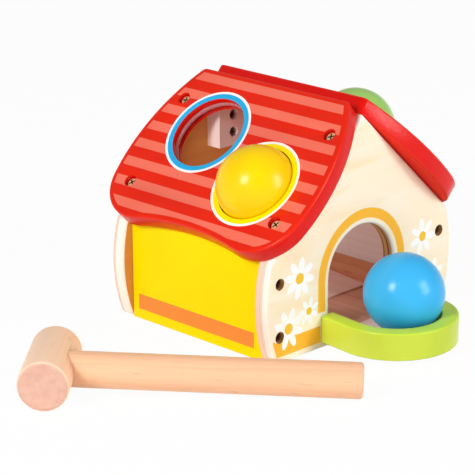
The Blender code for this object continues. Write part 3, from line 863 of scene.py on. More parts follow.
for end, turned_end in ENDS.items():
    for side, sign in (("left", -1), ("right", 1)):
        way = sign if end == "front" else -sign
        for level_name, z in GABLE_SCREW_ZS.items():
            spot = Vector((way * GABLE_SCREW_X, -(LENGTH / 2 - GABLE_BORE + SEAT), z))
            gable_sites[f"gable_screw_{end}_{side}_{level_name}"] = turned_end @ along(FACING, spot)
    block_face = INNER_Y - GAP - BLOCK_T[end]
    for step, level_name in enumerate(("upper", "lower")):
        z = RIDGE_Z - BLOCK_SCREW_DROP[end] - step * BLOCK_SCREW_PITCH
        spot = Vector((-BLOCK_ASIDE[end], SEAT - block_face - BLOCK_BORE[end], z))
        block_sites[end][f"block_screw_{end}_{level_name}"] = turned_end @ along(-FACING, spot)
ROOF_SHANK = ROOF_T - ROOF_BORE + SCREW_BITE
GABLE_SHANK = GABLE_T - GABLE_BORE + SCREW_BITE
BLOCK_SHANK = {end: BLOCK_T[end] - BLOCK_BORE[end] + BLOCK_BITE for end in ENDS}
PIN_X = DOOR_HALF + 3.65 * mm
PIN_Z = 11.6 * mm
PIN_HOLE_R = 1.65 * mm
PIN_HOLE_DEPTH = 7.3 * mm


def at(sites, word):
    """The places whose screw name holds a word."""
    return [matrix for name, matrix in sites.items() if word in name]


for end, piece in (("front", front_gable), ("rear", rear_gable)):
    placed(piece, ENDS[end] @ STAND)
    bores = at(gable_sites, end)
    drilled(piece, [(spot, GABLE_BORE_R, -SEAT, GABLE_BORE + THROUGH, BORE_SIDES) for spot in bores])
    shanks = [(spot, -GABLE_SHANK) for spot in bores]
    shanks += [(spot, -ROOF_SHANK - GAP) for spot in at(roof_sites, end)]
    shanks += [(spot, -BLOCK_SHANK[end] - GAP) for spot in block_sites[end].values()]
    drilled(piece, [(spot, PILOT_R, low, THROUGH, SHANK_SIDES) for spot, low in shanks])
pins = [along(FACING, Vector((sign * PIN_X, -LENGTH / 2, PIN_Z))) for sign in (-1, 1)]
drilled(front_gable, [(spot, PIN_HOLE_R, -PIN_HOLE_DEPTH, THROUGH, SHANK_SIDES) for spot in pins])
stands_for(front_gable, "house", "plywood", "front_gable")
stands_for(rear_gable, "house", "plywood", "rear_gable")

# %% [markdown]
# Each side wall is a board whose top is planed to the roof's slope. A box of the full height is cut
# by a slanted plane, which leaves the planed top, and its edges are broken a little.

# %% Side walls
WALL_EDGE = 0.5 * mm
INNER_FACING = -0.6
PAINT_SLOT, BARE_SLOT = 0, 1
inner_top = PEAK_Z - (WALL_X - WALL_T) * math.tan(SLOPE)
wall_run = 2 * (INNER_Y - GAP)
start_alone()
bpy.ops.mesh.primitive_cube_add(size=1.0, location=(WALL_X - WALL_T / 2, 0.0, inner_top / 2))
right_wall = named("right_wall_board")
right_wall.scale = (WALL_T, wall_run, inner_top)
settle()
add_slots(right_wall)
bpy.ops.object.mode_set(mode="EDIT")
bpy.ops.mesh.select_all(action="SELECT")
bpy.ops.mesh.bisect(
    plane_co=(0.0, 0.0, PEAK_Z),
    plane_no=(math.sin(SLOPE), 0.0, math.cos(SLOPE)),
    use_fill=True,
    clear_outer=True,
)
merge_all()
bpy.ops.mesh.bevel(offset=WALL_EDGE, segments=3, profile=0.5, affect="EDGES")
fill_slot(right_wall, BARE_SLOT, lambda face: face.normal.x < INNER_FACING)
bpy.ops.object.mode_set(mode="OBJECT")
left_wall = copied(right_wall, "left_wall_board")
placed(left_wall, HALF_TURN)
placed(right_wall, Matrix.Identity(4))
for side, piece in (("left", left_wall), ("right", right_wall)):
    shanks = at(gable_sites, side)
    drilled(piece, [(spot, PILOT_R, -GABLE_SHANK - GAP, THROUGH, SHANK_SIDES) for spot in shanks])
    stands_for(piece, "house", "yellow_paint", f"{side}_wall")

# %% [markdown]
# The tray's rail is one rounded bar bent round the front. A flat section with rounded corners is
# spun about the tray's middle, then its two ends are drawn out towards the gable and cut off square
# to it.

# %% Tray rail
TRAY_Y = -84.0 * mm
FENCE_OUT_R = 34.8 * mm
FENCE_IN_R = 25.4 * mm
FENCE_LOW_Z = 3.6 * mm
FENCE_TOP_Z = 19.0 * mm
FENCE_EDGE_R = 1.0 * mm
FENCE_PINCH = math.radians(6.0)
FENCE_STEPS = 72
LEG = 30.0 * mm
fence_back = -LENGTH / 2 - GAP
middle_r = (FENCE_OUT_R + FENCE_IN_R) / 2
middle_z = (FENCE_TOP_Z + FENCE_LOW_Z) / 2
start_alone()
bpy.ops.mesh.primitive_plane_add(
    size=1.0, rotation=(math.pi / 2, 0.0, 0.0), location=(middle_r, 0.0, middle_z)
)
rail = named("tray_rail")
rail.scale = (FENCE_OUT_R - FENCE_IN_R, FENCE_TOP_Z - FENCE_LOW_Z, 1.0)
settle()
rail.matrix_world = Matrix.Translation((0.0, TRAY_Y, 0.0)) @ Matrix.Rotation(FENCE_PINCH, 4, "Z")
settle()
bpy.ops.object.mode_set(mode="EDIT")
bpy.ops.mesh.select_mode(type="VERT")
bpy.ops.mesh.select_all(action="SELECT")
bpy.ops.mesh.bevel(offset=FENCE_EDGE_R, segments=6, profile=0.5, affect="VERTICES")
bpy.ops.mesh.select_all(action="SELECT")
half_round = math.pi + 2 * FENCE_PINCH
bpy.ops.mesh.spin(steps=FENCE_STEPS, angle=half_round, center=(0.0, TRAY_Y, 0.0), axis=UP)
for sign in (1, -1):
    way = Vector((-sign * math.sin(FENCE_PINCH), math.cos(FENCE_PINCH), 0.0))
    pick(rail, "FACE", lambda face: len(face.verts) > 4 and face.calc_center_median().x * sign > 0.0)
    draw_out(way * LEG)
bpy.ops.mesh.select_all(action="SELECT")
bpy.ops.mesh.bisect(
    plane_co=(0.0, fence_back, 0.0), plane_no=(0.0, 1.0, 0.0), use_fill=True, clear_outer=True
)
merge_all()
bpy.ops.mesh.normals_make_consistent(inside=False)
bpy.ops.object.mode_set(mode="OBJECT")
placed(rail, Matrix.Identity(4))
stands_for(rail, "house", "green_paint", "tray_fence")

# %% [markdown]
# A soft clear ring lies in each hole's groove and keeps the ball from falling through by itself. It
# is a round wire, so a small circle is spun once round the hole's axis. It is made once, copied for
# the four holes, and each copy is put in its place.

# %% Soft rings
WIRE_SIDES = 20
RING_STEPS = 112
start_alone()
bpy.ops.mesh.primitive_circle_add(
    vertices=WIRE_SIDES, radius=RING_WIRE_R, rotation=(math.pi / 2, 0.0, 0.0), location=(RING_R, 0.0, 0.0)
)
ring = named("soft_ring")
settle()
bpy.ops.object.mode_set(mode="EDIT")
bpy.ops.mesh.select_mode(type="VERT")
bpy.ops.mesh.select_all(action="SELECT")
bpy.ops.mesh.spin(steps=RING_STEPS, angle=2 * math.pi, center=(0.0, 0.0, 0.0), axis=UP)
merge_all()
bpy.ops.mesh.normals_make_consistent(inside=False)
bpy.ops.object.mode_set(mode="OBJECT")
RING_PLACES = {
    "blue": ("left", "high"),
    "yellow": ("left", "low"),
    "green": ("right", "high"),
    "red": ("right", "low"),
}


def in_hole(colour, height):
    """The place on the axis of a colour's hole, at a height over the board's underside."""
    side, hole = RING_PLACES[colour]
    return ROOFS[side] @ Matrix.Translation((*HOLES[hole], height))


rings = {}
for colour in RING_PLACES:
    rings[colour] = copied(ring, f"soft_ring_{colour}")
    placed(rings[colour], in_hole(colour, RING_W), ROUND_ANGLE)
    stands_for(rings[colour], "house", "clear_plastic", f"retaining_ring_{colour}")
bpy.data.objects.remove(ring, do_unlink=True)

# %% [markdown]
# A turned wooden ball should have even faces all over, so that its paint and its outline are smooth
# from every side. A cube is divided into a grid and drawn out to a sphere, which has no poles.

# %% Balls
BALL_CUTS = 23
TRAY_BALL = Vector((3.5, -87.4, 29.65)) * mm
start_alone()
bpy.ops.mesh.primitive_cube_add(size=2 * BALL_R)
ball = named("ball")
bpy.ops.object.mode_set(mode="EDIT")
bpy.ops.mesh.select_all(action="SELECT")
bpy.ops.mesh.subdivide(number_cuts=BALL_CUTS)
bpy.ops.transform.tosphere(value=1.0)
made_r = max(vertex.co.length for vertex in bmesh.from_edit_mesh(ball.data).verts)
bpy.ops.transform.resize(value=(BALL_R / made_r,) * 3)
bpy.ops.object.mode_set(mode="OBJECT")
balls = {}
for colour in RING_PLACES:
    spot = in_hole(colour, ROOF_T - BALL_SUNK)
    if colour == "blue":
        spot = Matrix.Translation(TRAY_BALL)
    balls[colour] = copied(ball, f"{colour}_wood_ball")
    placed(balls[colour], spot, ROUND_ANGLE)
    stands_for(balls[colour], f"{colour}_ball", f"{colour}_ball_paint", f"{colour}_ball")
bpy.data.objects.remove(ball, do_unlink=True)

# %% [markdown]
# The hammer is two turned pieces. The head is a short cylinder with rounded rims and a socket bored
# into its side. The handle is a longer one, rounded at its ends and pushed into the socket. Loose
# on the ground, it rests on its head and on the far end of its handle, so the handle slopes a little.

# %% Hammer
HAMMER_AT = Vector((-175.2, -2.5, 0.0)) * mm
HAMMER_TURN = math.radians(-48.5)
HAMMER_R = 13.5 * mm
HAMMER_L = 54.0 * mm
HANDLE_R = 9.5 * mm
HANDLE_REACH = 161.0 * mm
TURNED_EDGE = 2.0 * mm
SOCKET_PAST = 4.0 * mm
SOCKET_R = HANDLE_R + 0.12 * mm
ROD_SIDES = 80
HEAD_SIDES = 96
heading = Vector((math.cos(HAMMER_TURN), math.sin(HAMMER_TURN), 0.0))
tilt = math.atan2(HAMMER_R - HANDLE_R, HANDLE_REACH)
HEAD_AT = along(Vector((-heading.y, heading.x, 0.0)), HAMMER_AT + UP * HAMMER_R)
HANDLE_AT = along(heading * math.cos(tilt) - UP * math.sin(tilt), HAMMER_AT + UP * HAMMER_R)


def turned_rod(name, radius, low, high, sides, edge):
    """A turned rod along local Z with rounded rims and a faint hollow in each end face."""
    start_alone()
    bpy.ops.mesh.primitive_cylinder_add(
        vertices=sides, radius=radius, depth=high - low, location=(0.0, 0.0, (low + high) / 2)
    )
    piece = named(name)
    settle()
    bpy.ops.object.mode_set(mode="EDIT")
    for height in (low, high):
        def on_end(face):
            flat = len(face.verts) == sides and abs(face.normal.z) > FLAT
            return flat and face.calc_center_median().z * height > 0.0

        round_rim(piece, height, edge, 6)
        pick(piece, "FACE", on_end)
        bpy.ops.mesh.inset(thickness=0.6 * edge, depth=-0.03 * edge)
    bpy.ops.object.mode_set(mode="OBJECT")
    return piece


half_head = HAMMER_L / 2
hammer_head = turned_rod("hammer_head_block", HAMMER_R, -half_head, half_head, HEAD_SIDES, TURNED_EDGE)
placed(hammer_head, HEAD_AT)
drilled(hammer_head, [(HANDLE_AT, SOCKET_R, -SOCKET_PAST - GAP, 2 * HAMMER_R, HEAD_SIDES)])
hammer_handle = turned_rod(
    "hammer_handle_rod", HANDLE_R, -SOCKET_PAST, HANDLE_REACH, ROD_SIDES, TURNED_EDGE
)
placed(hammer_handle, HANDLE_AT)
stands_for(hammer_head, "hammer", "beech", "hammer_head")
stands_for(hammer_handle, "hammer", "beech", "hammer_handle")

# %% [markdown]
# The screws are small, but their bright heads and cross slots catch the eye on the roof. One is
# modelled from a cylinder: its top edge is rounded to a pan, its underside is inset and drawn out
# to a shank with a point, and a cross of two thin boxes is cut into the head. The cross has a paint
# slot of its own, which is painted dark as shade in the slot.

# %% Screws
CROSS_ARM = 2.0 * mm
CROSS_W = 0.85 * mm
CROSS_DEPTH = 1.1 * mm
CROSS_NEAR = 0.05 * mm
SCREW_TIP = 2.5 * mm
PAN_R = 0.55 * HEAD_H
FIRST_TWIST = 25.0
NEXT_TWIST = 37.0
HEAD_SLOT, CROSS_SLOT = 0, 1


def cross_tool():
    """Two thin boxes across each other, for the slot of a screw."""
    start_alone()
    boxes = []
    for size in ((2 * CROSS_ARM, CROSS_W), (CROSS_W, 2 * CROSS_ARM)):
        bpy.ops.mesh.primitive_cube_add(size=1.0, location=(0.0, 0.0, HEAD_H))
        bpy.context.object.scale = (*size, 2 * CROSS_DEPTH)
        settle()
        boxes.append(bpy.context.object)
    combined(boxes[0], boxes[1], "UNION")
    return boxes[0]


def in_cross(face):
    """A face of the slot, below the head's flat top."""
    middle = face.calc_center_median()
    inside = math.hypot(middle.x, middle.y) < CROSS_ARM + NEAR
    return inside and HEAD_H - CROSS_DEPTH - CROSS_NEAR < middle.z < HEAD_H - CROSS_NEAR


def screw(name, shank):
    """A pan-head screw along local Z, its seat at zero."""
    start_alone()
    bpy.ops.mesh.primitive_cylinder_add(
        vertices=32, radius=HEAD_R, depth=HEAD_H, location=(0.0, 0.0, HEAD_H / 2)
    )
    piece = named(name)
    settle()
    bpy.ops.object.mode_set(mode="EDIT")
    round_rim(piece, HEAD_H, PAN_R, 4)
    pick(piece, "FACE", lambda face: face.normal.z < -FLAT)
    bpy.ops.mesh.inset(thickness=HEAD_R - SHANK_R, depth=0.0)
    draw_out((0.0, 0.0, SCREW_TIP - shank))
    draw_out((0.0, 0.0, -SCREW_TIP))
    bpy.ops.mesh.merge(type="CENTER")
    bpy.ops.object.mode_set(mode="OBJECT")
    combined(piece, cross_tool(), "DIFFERENCE")
    add_slots(piece)
    bpy.ops.object.mode_set(mode="EDIT")
    fill_slot(piece, CROSS_SLOT, in_cross)
    bpy.ops.object.mode_set(mode="OBJECT")
    return piece


screws = []
screw_sets = [(roof_sites, ROOF_SHANK), (gable_sites, GABLE_SHANK)]
screw_sets += [(sites, BLOCK_SHANK[end]) for end, sites in block_sites.items()]
for sites, shank in screw_sets:
    pattern = screw("screw_pattern", shank)
    for number, (node, matrix) in enumerate(sites.items()):
        made = copied(pattern, node + "_steel")
        twist = Matrix.Rotation(math.radians(FIRST_TWIST + NEXT_TWIST * number), 4, "Z")
        placed(made, matrix @ twist)
        stands_for(made, "house", "steel", node)
        screws.append(made)
    bpy.data.objects.remove(pattern, do_unlink=True)

# %% [markdown]
# Roof paint. The red and the stripes share the paint film, and round each ball hole two rings are
# printed: one in the colour of the ball that belongs there, and a white one outside it. The group
# measures the distance from a hole's axis in the board's own coordinates. The sawn edges and the walls
# of the holes are painted a deeper red, which is painted shade; they keep the marks of the saw, and the
# underside is duller.

# %% Printed ring group
RING_PRINT_IN = HOLE_R - 0.05 * mm
RING_PRINT_MID = 25.7 * mm
RING_PRINT_OUT = 27.15 * mm
PRINT_FROM_Z = ROOF_T - 0.2 * mm
PRINT_WHITE = linear(255, 252, 250)
ring_print, ring_in, ring_out = new_group(
    "printed rings",
    [("Vector", "vector"), ("Hole Y", "value"), ("Hole U", "value")]
    + [("Under", "colour"), ("Ring", "colour")],
    [("Colour", "colour")],
)
tree = ring_print
y, u, z = axes_of(tree, ring_in["Vector"])
off_y = calc(tree, "SUBTRACT", y, ring_in["Hole Y"])
off_u = calc(tree, "SUBTRACT", u, ring_in["Hole U"])
out_from = distance(tree, off_y, off_u)
on_face = calc(tree, "GREATER_THAN", z, PRINT_FROM_Z)
ring_part = between(tree, out_from, RING_PRINT_IN, RING_PRINT_MID)
ring_part = calc(tree, "MULTIPLY", ring_part, on_face)
white_part = between(tree, out_from, RING_PRINT_MID, RING_PRINT_OUT)
white_part = calc(tree, "MULTIPLY", white_part, on_face)
ringed = mixed(tree, ring_part, ring_in["Under"], ring_in["Ring"])
put(tree, ring_out["Colour"], mixed(tree, white_part, ringed, PRINT_WHITE))
print("printed ring group", len(tree.nodes), "nodes")

# %% Roof paints
ROOF_GLOSS = 0.2
ROOF_SHINE = 0.2
UNDER_ROUGH = 0.7
SHADED_EDGE_RED = linear(222, 14, 5)
SAW_SCALE = 950.0
SAW_SHARE = 12.0
FILM_DEPTH = 0.012 * mm
PRINT_COLOURS = {
    "blue": linear(38, 176, 232),
    "yellow": linear(255, 232, 0),
    "green": linear(120, 190, 60),
    "red": linear(214, 20, 20),
}


def roof_paint(name, side, colour, deep):
    """A roof paint with the two ring prints of its board."""
    material, tree, shader, coordinates = new_finish(name, specular=ROOF_SHINE)
    local = local_frame(tree, coordinates, ROOFS[side])
    film = use_group(tree, paint_film, Vector=local, Colour=colour, Deep=deep, Gloss=ROOF_GLOSS)
    painted = film["Colour"]
    for ring_colour, (ring_side, hole) in RING_PLACES.items():
        if ring_side == side:
            y, u = HOLES[hole]
            rings_here = use_group(
                tree, ring_print, Vector=local, Hole_Y=y, Hole_U=u, Under=painted,
                Ring=PRINT_COLOURS[ring_colour],
            )
            painted = rings_here["Colour"]
    _, _, z = axes_of(tree, local)
    on_edge = between(tree, z, ROOF_UNDER_R, ROOF_T - ROOF_EDGE_R)
    # The sawn edges and the hole walls take a deeper red here: painted shade.
    painted = mixed(tree, on_edge, painted, SHADED_EDGE_RED)
    dull = ranged(tree, z, 0.0, ROOF_UNDER_R, UNDER_ROUGH, 0.0)
    roughness = calc(tree, "MAXIMUM", film["Roughness"], dull)
    saw_marks = calc(tree, "MULTIPLY", noise(tree, local, SAW_SCALE), SAW_SHARE)
    saw_marks = calc(tree, "MULTIPLY", saw_marks, on_edge)
    height = calc(tree, "ADD", film["Height"], saw_marks)
    surfaced(tree, shader, painted, roughness, height, FILM_DEPTH)
    return material


ROOF_RED = (linear(234, 39, 12), linear(228, 34, 10))
ROOF_STRIPE = (linear(248, 119, 97), linear(244, 111, 89))
for side, piece in (("left", left_roof), ("right", right_roof)):
    piece.data.materials[RED_SLOT] = roof_paint(f"{side} roof red", side, *ROOF_RED)
    piece.data.materials[STRIPE_SLOT] = roof_paint(f"{side} roof stripe", side, *ROOF_STRIPE)
print("roof paints", [slot.name for slot in left_roof.data.materials if slot])

# %% [markdown]
# Plywood shows its layers on every sawn edge: a pale face veneer and a pinkish core with fine glue
# lines. The outer layers seen on an edge are painted near white, partly the pale veneer and partly a
# painted highlight. The inner face is painted an ochre brown, which is painted shade and painted yellow
# light thrown from the walls. Measuring how deep a point lies in the board gives them all by itself,
# because a flat face is all one depth, while an edge cuts through every layer. The grain of the veneer
# runs across the board, with a few yellower streaks.

# %% Plywood group
PLY_COUNT = 6.0
PLY_WANDER = 0.06
FACE_DEPTH = 0.985
BACK_DEPTH = 0.02
LONG_STRETCH, LONG_SCALE = (0.06, 1.0, 1.0), 260.0
CLOUD_STRETCH, CLOUD_SCALE = (0.25, 1.0, 1.0), 60.0
STREAK_STRETCH, STREAK_SCALE = (0.16, 1.0, 1.0), 110.0
GRAIN_SHARE = 0.6
STREAK_SHARE = 0.8
VENEER_LIGHT = linear(255, 244, 221)
VENEER_DARK = linear(254, 237, 206)
VENEER_STREAK = linear(252, 230, 190)
# The inner face's ochre brown is painted shade and painted yellow light from the walls.
BACK_SHADE_LIGHT = linear(236, 166, 92)
BACK_SHADE_DARK = linear(220, 144, 72)
CORE_LIGHT = linear(250, 214, 192)
CORE_GLUE = linear(226, 172, 146)
# Near white for the outer layers seen on an edge: the pale veneer and a painted highlight.
PALE_EDGE_AND_HIGHLIGHT = linear(255, 248, 235)
ply_layers, ply_in, ply_out = new_group(
    "ply layers",
    [("Vector", "vector"), ("Depth", "value"), ("Core Low", "value"), ("Core High", "value")],
    SURFACE_OUT,
)
tree = ply_layers
long_grain = noise(tree, stretched(tree, ply_in["Vector"], LONG_STRETCH), LONG_SCALE, 3.0)
cloud = noise(tree, stretched(tree, ply_in["Vector"], CLOUD_STRETCH), CLOUD_SCALE)
streak = noise(tree, stretched(tree, ply_in["Vector"], STREAK_STRETCH), STREAK_SCALE, 1.0)
streak = ranged(tree, streak, 0.56, 0.74, 0.0, STREAK_SHARE)
grain_tone = calc(tree, "ADD", calc(tree, "MULTIPLY", long_grain, GRAIN_SHARE), cloud)
grain_tone = ranged(tree, grain_tone, 0.55, 1.1)
veneer = mixed(tree, grain_tone, VENEER_LIGHT, VENEER_DARK)
veneer = mixed(tree, streak, veneer, VENEER_STREAK)
brown = mixed(tree, grain_tone, BACK_SHADE_LIGHT, BACK_SHADE_DARK)
wander = calc(tree, "MULTIPLY", calc(tree, "SUBTRACT", cloud, 0.5), PLY_WANDER)
depth_here = calc(tree, "ADD", ply_in["Depth"], wander)
in_core = between(tree, depth_here, ply_in["Core Low"], ply_in["Core High"])
glue = calc(tree, "PINGPONG", calc(tree, "MULTIPLY", depth_here, PLY_COUNT), 1.0)
glue = calc(tree, "MULTIPLY", ranged(tree, glue, 0.72, 0.95), long_grain)
core = mixed(tree, glue, CORE_LIGHT, CORE_GLUE)
on_edge = calc(tree, "LESS_THAN", ply_in["Depth"], FACE_DEPTH)
edged = mixed(tree, in_core, mixed(tree, on_edge, veneer, PALE_EDGE_AND_HIGHLIGHT), core)
inner_face = calc(tree, "LESS_THAN", ply_in["Depth"], BACK_DEPTH)
put(tree, ply_out["Colour"], mixed(tree, inner_face, edged, brown))
put(tree, ply_out["Roughness"], ranged(tree, long_grain, 0.2, 0.8, 0.5, 0.62))
put(tree, ply_out["Height"], calc(tree, "SUBTRACT", long_grain, glue))
print("ply group", len(tree.nodes), "nodes")

# %% [markdown]
# The gable's face carries simple prints: an orange arch round the door, an orange band along the
# foot and a few daisies. To draw a daisy, the angle round its middle is folded so that every petal
# lies on one axis, and a single long ellipse on that axis is then all of its petals at once. One
# group draws it anywhere at any size. The bores and the reveal of the door are painted brown with
# darker lines, which is painted shade.

# %% Daisy group
PETAL_MIDDLE = 0.60
PETAL_HALF_LONG = 0.42
PETAL_HALF_WIDE = 0.19
EYE_R = 0.27
PETAL_WHITE = linear(255, 255, 255)
EYE_YELLOW = linear(248, 200, 58)
DAISY_VALUES = ("X", "Z", "At X", "At Z", "Size", "Turn", "Petals")
daisy, daisy_in, daisy_out = new_group(
    "daisy",
    [(label, "value") for label in DAISY_VALUES] + [("Under", "colour")],
    [("Colour", "colour")],
)
tree = daisy
right_of = calc(tree, "SUBTRACT", daisy_in["X"], daisy_in["At X"])
right_of = calc(tree, "DIVIDE", right_of, daisy_in["Size"])
above_of = calc(tree, "SUBTRACT", daisy_in["Z"], daisy_in["At Z"])
above_of = calc(tree, "DIVIDE", above_of, daisy_in["Size"])
from_eye = distance(tree, right_of, above_of)
bearing = calc(tree, "ADD", calc(tree, "ARCTAN2", above_of, right_of), daisy_in["Turn"])
folded = calc(tree, "PINGPONG", bearing, calc(tree, "DIVIDE", math.pi, daisy_in["Petals"]))
out_along = calc(tree, "MULTIPLY", from_eye, calc(tree, "COSINE", folded))
out_aside = calc(tree, "MULTIPLY", from_eye, calc(tree, "SINE", folded))
share_long = calc(tree, "DIVIDE", calc(tree, "SUBTRACT", out_along, PETAL_MIDDLE), PETAL_HALF_LONG)
share_wide = calc(tree, "DIVIDE", out_aside, PETAL_HALF_WIDE)
petal = calc(tree, "LESS_THAN", distance(tree, share_long, share_wide), 1.0)
eye_part = calc(tree, "LESS_THAN", from_eye, EYE_R)
petalled = mixed(tree, petal, daisy_in["Under"], PETAL_WHITE)
put(tree, daisy_out["Colour"], mixed(tree, eye_part, petalled, EYE_YELLOW))
print("daisy group", len(tree.nodes), "nodes")

# %% Gable finish
TRIM_IN_R = 29.5 * mm
TRIM_OUT_R = 35.1 * mm
TRIM_FOOT_Z = 21.0 * mm
BAND_LOW_Z = 4.0 * mm
BAND_HIGH_Z = 13.5 * mm
BAND_IN_X = 33.0 * mm
BAND_MARGIN = 3.0 * mm
PRINT_ORANGE = linear(254, 187, 52)
# Brown painted shade for the bores and the door's reveal.
BORE_SHADE_LIGHT = linear(222, 170, 110)
BORE_SHADE_DARK = linear(140, 84, 52)
BORE_SHADE_LINES = 5.0
BORE_SHADE_SKIN = 0.05 * mm
REVEAL_SHADE_SKIN = 0.1 * mm
PRINT_FROM = GABLE_T - 0.15 * mm
PLY_SHINE = 0.2
PLY_BUMP = 0.02 * mm
# The rear core lies deep, so most of that gable's edge takes the near-white edge colour, a painted
# highlight.
CORES = {"front": (0.0, 0.70), "rear": (0.66, 0.95)}
DAISIES = {"front": (
    (-49.5, 44.5, 11.4, 0.2, 8),
    (-42.2, 24.3, 7.8, 0.5, 7),
    (-58.0, 18.3, 11.4, 0.35, 8),
    (50.6, 44.7, 10.6, 0.1, 7),
    (58.2, 19.0, 11.0, 0.4, 8),
    (43.5, 22.5, 7.8, 0.1, 7),
), "rear": ()}
screw_mid_z = (GABLE_SCREW_ZS["upper"] + GABLE_SCREW_ZS["lower"]) / 2
screw_half_pitch = (GABLE_SCREW_ZS["upper"] - GABLE_SCREW_ZS["lower"]) / 2


def gable_finish(name, end):
    """Plywood with prints on its outer face."""
    material, tree, shader, coordinates = new_finish(name, specular=PLY_SHINE)
    x, z, depth = axes_of(tree, local_frame(tree, coordinates, ENDS[end] @ STAND))
    core_low, core_high = CORES[end]
    ply = use_group(
        tree, ply_layers, Vector=local_frame(tree, coordinates, ENDS[end]),
        Depth=calc(tree, "DIVIDE", depth, GABLE_T), Core_Low=core_low, Core_High=core_high,
    )
    wide = calc(tree, "ABSOLUTE", x)
    from_bulge_x = calc(tree, "SUBTRACT", wide, bulge_x)
    to_bulge = distance(tree, from_bulge_x, calc(tree, "SUBTRACT", z, BULGE_Z))
    within = calc(tree, "LESS_THAN", to_bulge, BULGE_R - BAND_MARGIN)
    print_part = calc(tree, "MULTIPLY", between(tree, z, BAND_LOW_Z, BAND_HIGH_Z), within)
    # The mask cut marks the bores and, on the front gable, the door's reveal for painted shade.
    from_middle = calc(tree, "ABSOLUTE", calc(tree, "SUBTRACT", z, screw_mid_z))
    off_x = calc(tree, "SUBTRACT", wide, GABLE_SCREW_X)
    from_screw = distance(tree, off_x, calc(tree, "SUBTRACT", from_middle, screw_half_pitch))
    cut = calc(tree, "LESS_THAN", from_screw, GABLE_BORE_R + BORE_SHADE_SKIN)
    if end == "front":
        rise = calc(tree, "MAXIMUM", calc(tree, "SUBTRACT", z, DOOR_SPRING_Z), 0.0)
        from_arch = distance(tree, x, rise)
        trim = between(tree, from_arch, TRIM_IN_R, TRIM_OUT_R)
        trim = calc(tree, "MULTIPLY", trim, calc(tree, "GREATER_THAN", z, TRIM_FOOT_Z))
        print_part = calc(tree, "MULTIPLY", print_part, calc(tree, "GREATER_THAN", wide, BAND_IN_X))
        print_part = calc(tree, "MAXIMUM", print_part, trim)
        cut = calc(tree, "MAXIMUM", cut, calc(tree, "LESS_THAN", from_arch, DOOR_HALF + REVEAL_SHADE_SKIN))
    printed = mixed(tree, print_part, ply["Colour"], PRINT_ORANGE)
    for at_x, at_z, size, turn_by, petals in DAISIES[end]:
        flower = use_group(
            tree, daisy, X=x, Z=z, At_X=at_x * mm, At_Z=at_z * mm, Size=size * mm,
            Turn=turn_by, Petals=float(petals), Under=printed,
        )
        printed = flower["Colour"]
    # Painted shade: a brown with darker lines across the board's depth.
    line = calc(tree, "PINGPONG", calc(tree, "MULTIPLY", depth, BORE_SHADE_LINES / GABLE_T), 1.0)
    painted_shade = mixed(tree, ranged(tree, line, 0.5, 0.9), BORE_SHADE_LIGHT, BORE_SHADE_DARK)
    board = mixed(tree, cut, ply["Colour"], painted_shade)
    outside = calc(tree, "GREATER_THAN", depth, PRINT_FROM)
    colour = mixed(tree, outside, board, printed)
    surfaced(tree, shader, colour, ply["Roughness"], ply["Height"], PLY_BUMP)
    return material


for end, piece in (("front", front_gable), ("rear", rear_gable)):
    dress(piece, gable_finish(f"{end} gable ply", end))
print("gable finishes ready")

# %% [markdown]
# The walls are sprayed yellow outside, with an orange stripe low down, and left bare inside. Bare wood
# here is the solid wood group in a few sets of tones: grey for the walls, pale for the ramp and the
# tray, tan for the base, and red for the sloping strips beside the ramp. The tan and the red are
# darker copies of the same pine, which is painted shade. End grain drinks in more of any finish than
# the sides do, so an end face can be told to be darker, pinker and mottled.

# %% Wall and bare wood finishes
def tones(light, dark, fleck):
    """The three colours of a wood."""
    return {"Light": linear(*light), "Dark": linear(*dark), "Fleck": linear(*fleck)}


GREY_PINE = tones((246, 239, 239), (238, 228, 228), (222, 206, 204))
PALE_PINE = tones((250, 231, 224), (244, 220, 211), (228, 196, 184))
# The tan and the red tones are darker copies of the pine: painted shade.
SHADED_TAN_PINE = tones((226, 182, 154), (212, 164, 134), (192, 142, 110))
SHADED_RED_PINE = tones((226, 172, 134), (212, 152, 112), (190, 128, 90))
WOOD_SHINE = 0.25
WOOD_BUMP = 0.015 * mm
END_LIGHT = linear(228, 216, 223)
END_DARK = linear(222, 203, 212)
END_BLEND = 0.3 * mm
END_SCALE = 190.0
NO_END = 1.0


def bare_wood(name, matrix, colours, rings_per_metre, end_at=NO_END):
    """Unpainted wood, its grain along a matrix's local Z, darker on end faces past a height."""
    material, tree, shader, coordinates = new_finish(name, specular=WOOD_SHINE)
    local = local_frame(tree, coordinates, matrix)
    wood = use_group(tree, solid_wood, Vector=local, Rings=rings_per_metre, **colours)
    _, _, z = axes_of(tree, local)
    on_end = ranged(tree, calc(tree, "ABSOLUTE", z), end_at - END_BLEND, end_at)
    mottle = ranged(tree, noise(tree, local, END_SCALE, 4.0), 0.4, 0.62)
    end_grain = mixed(tree, mottle, END_LIGHT, END_DARK)
    colour = mixed(tree, on_end, wood["Colour"], end_grain, "MULTIPLY")
    surfaced(tree, shader, colour, wood["Roughness"], wood["Height"], WOOD_BUMP)
    return material


def finish_nodes(material, *nodes):
    """Gives kept CAD nodes a material."""
    for node in nodes:
        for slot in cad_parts[node].material_slots:
            slot.material = material


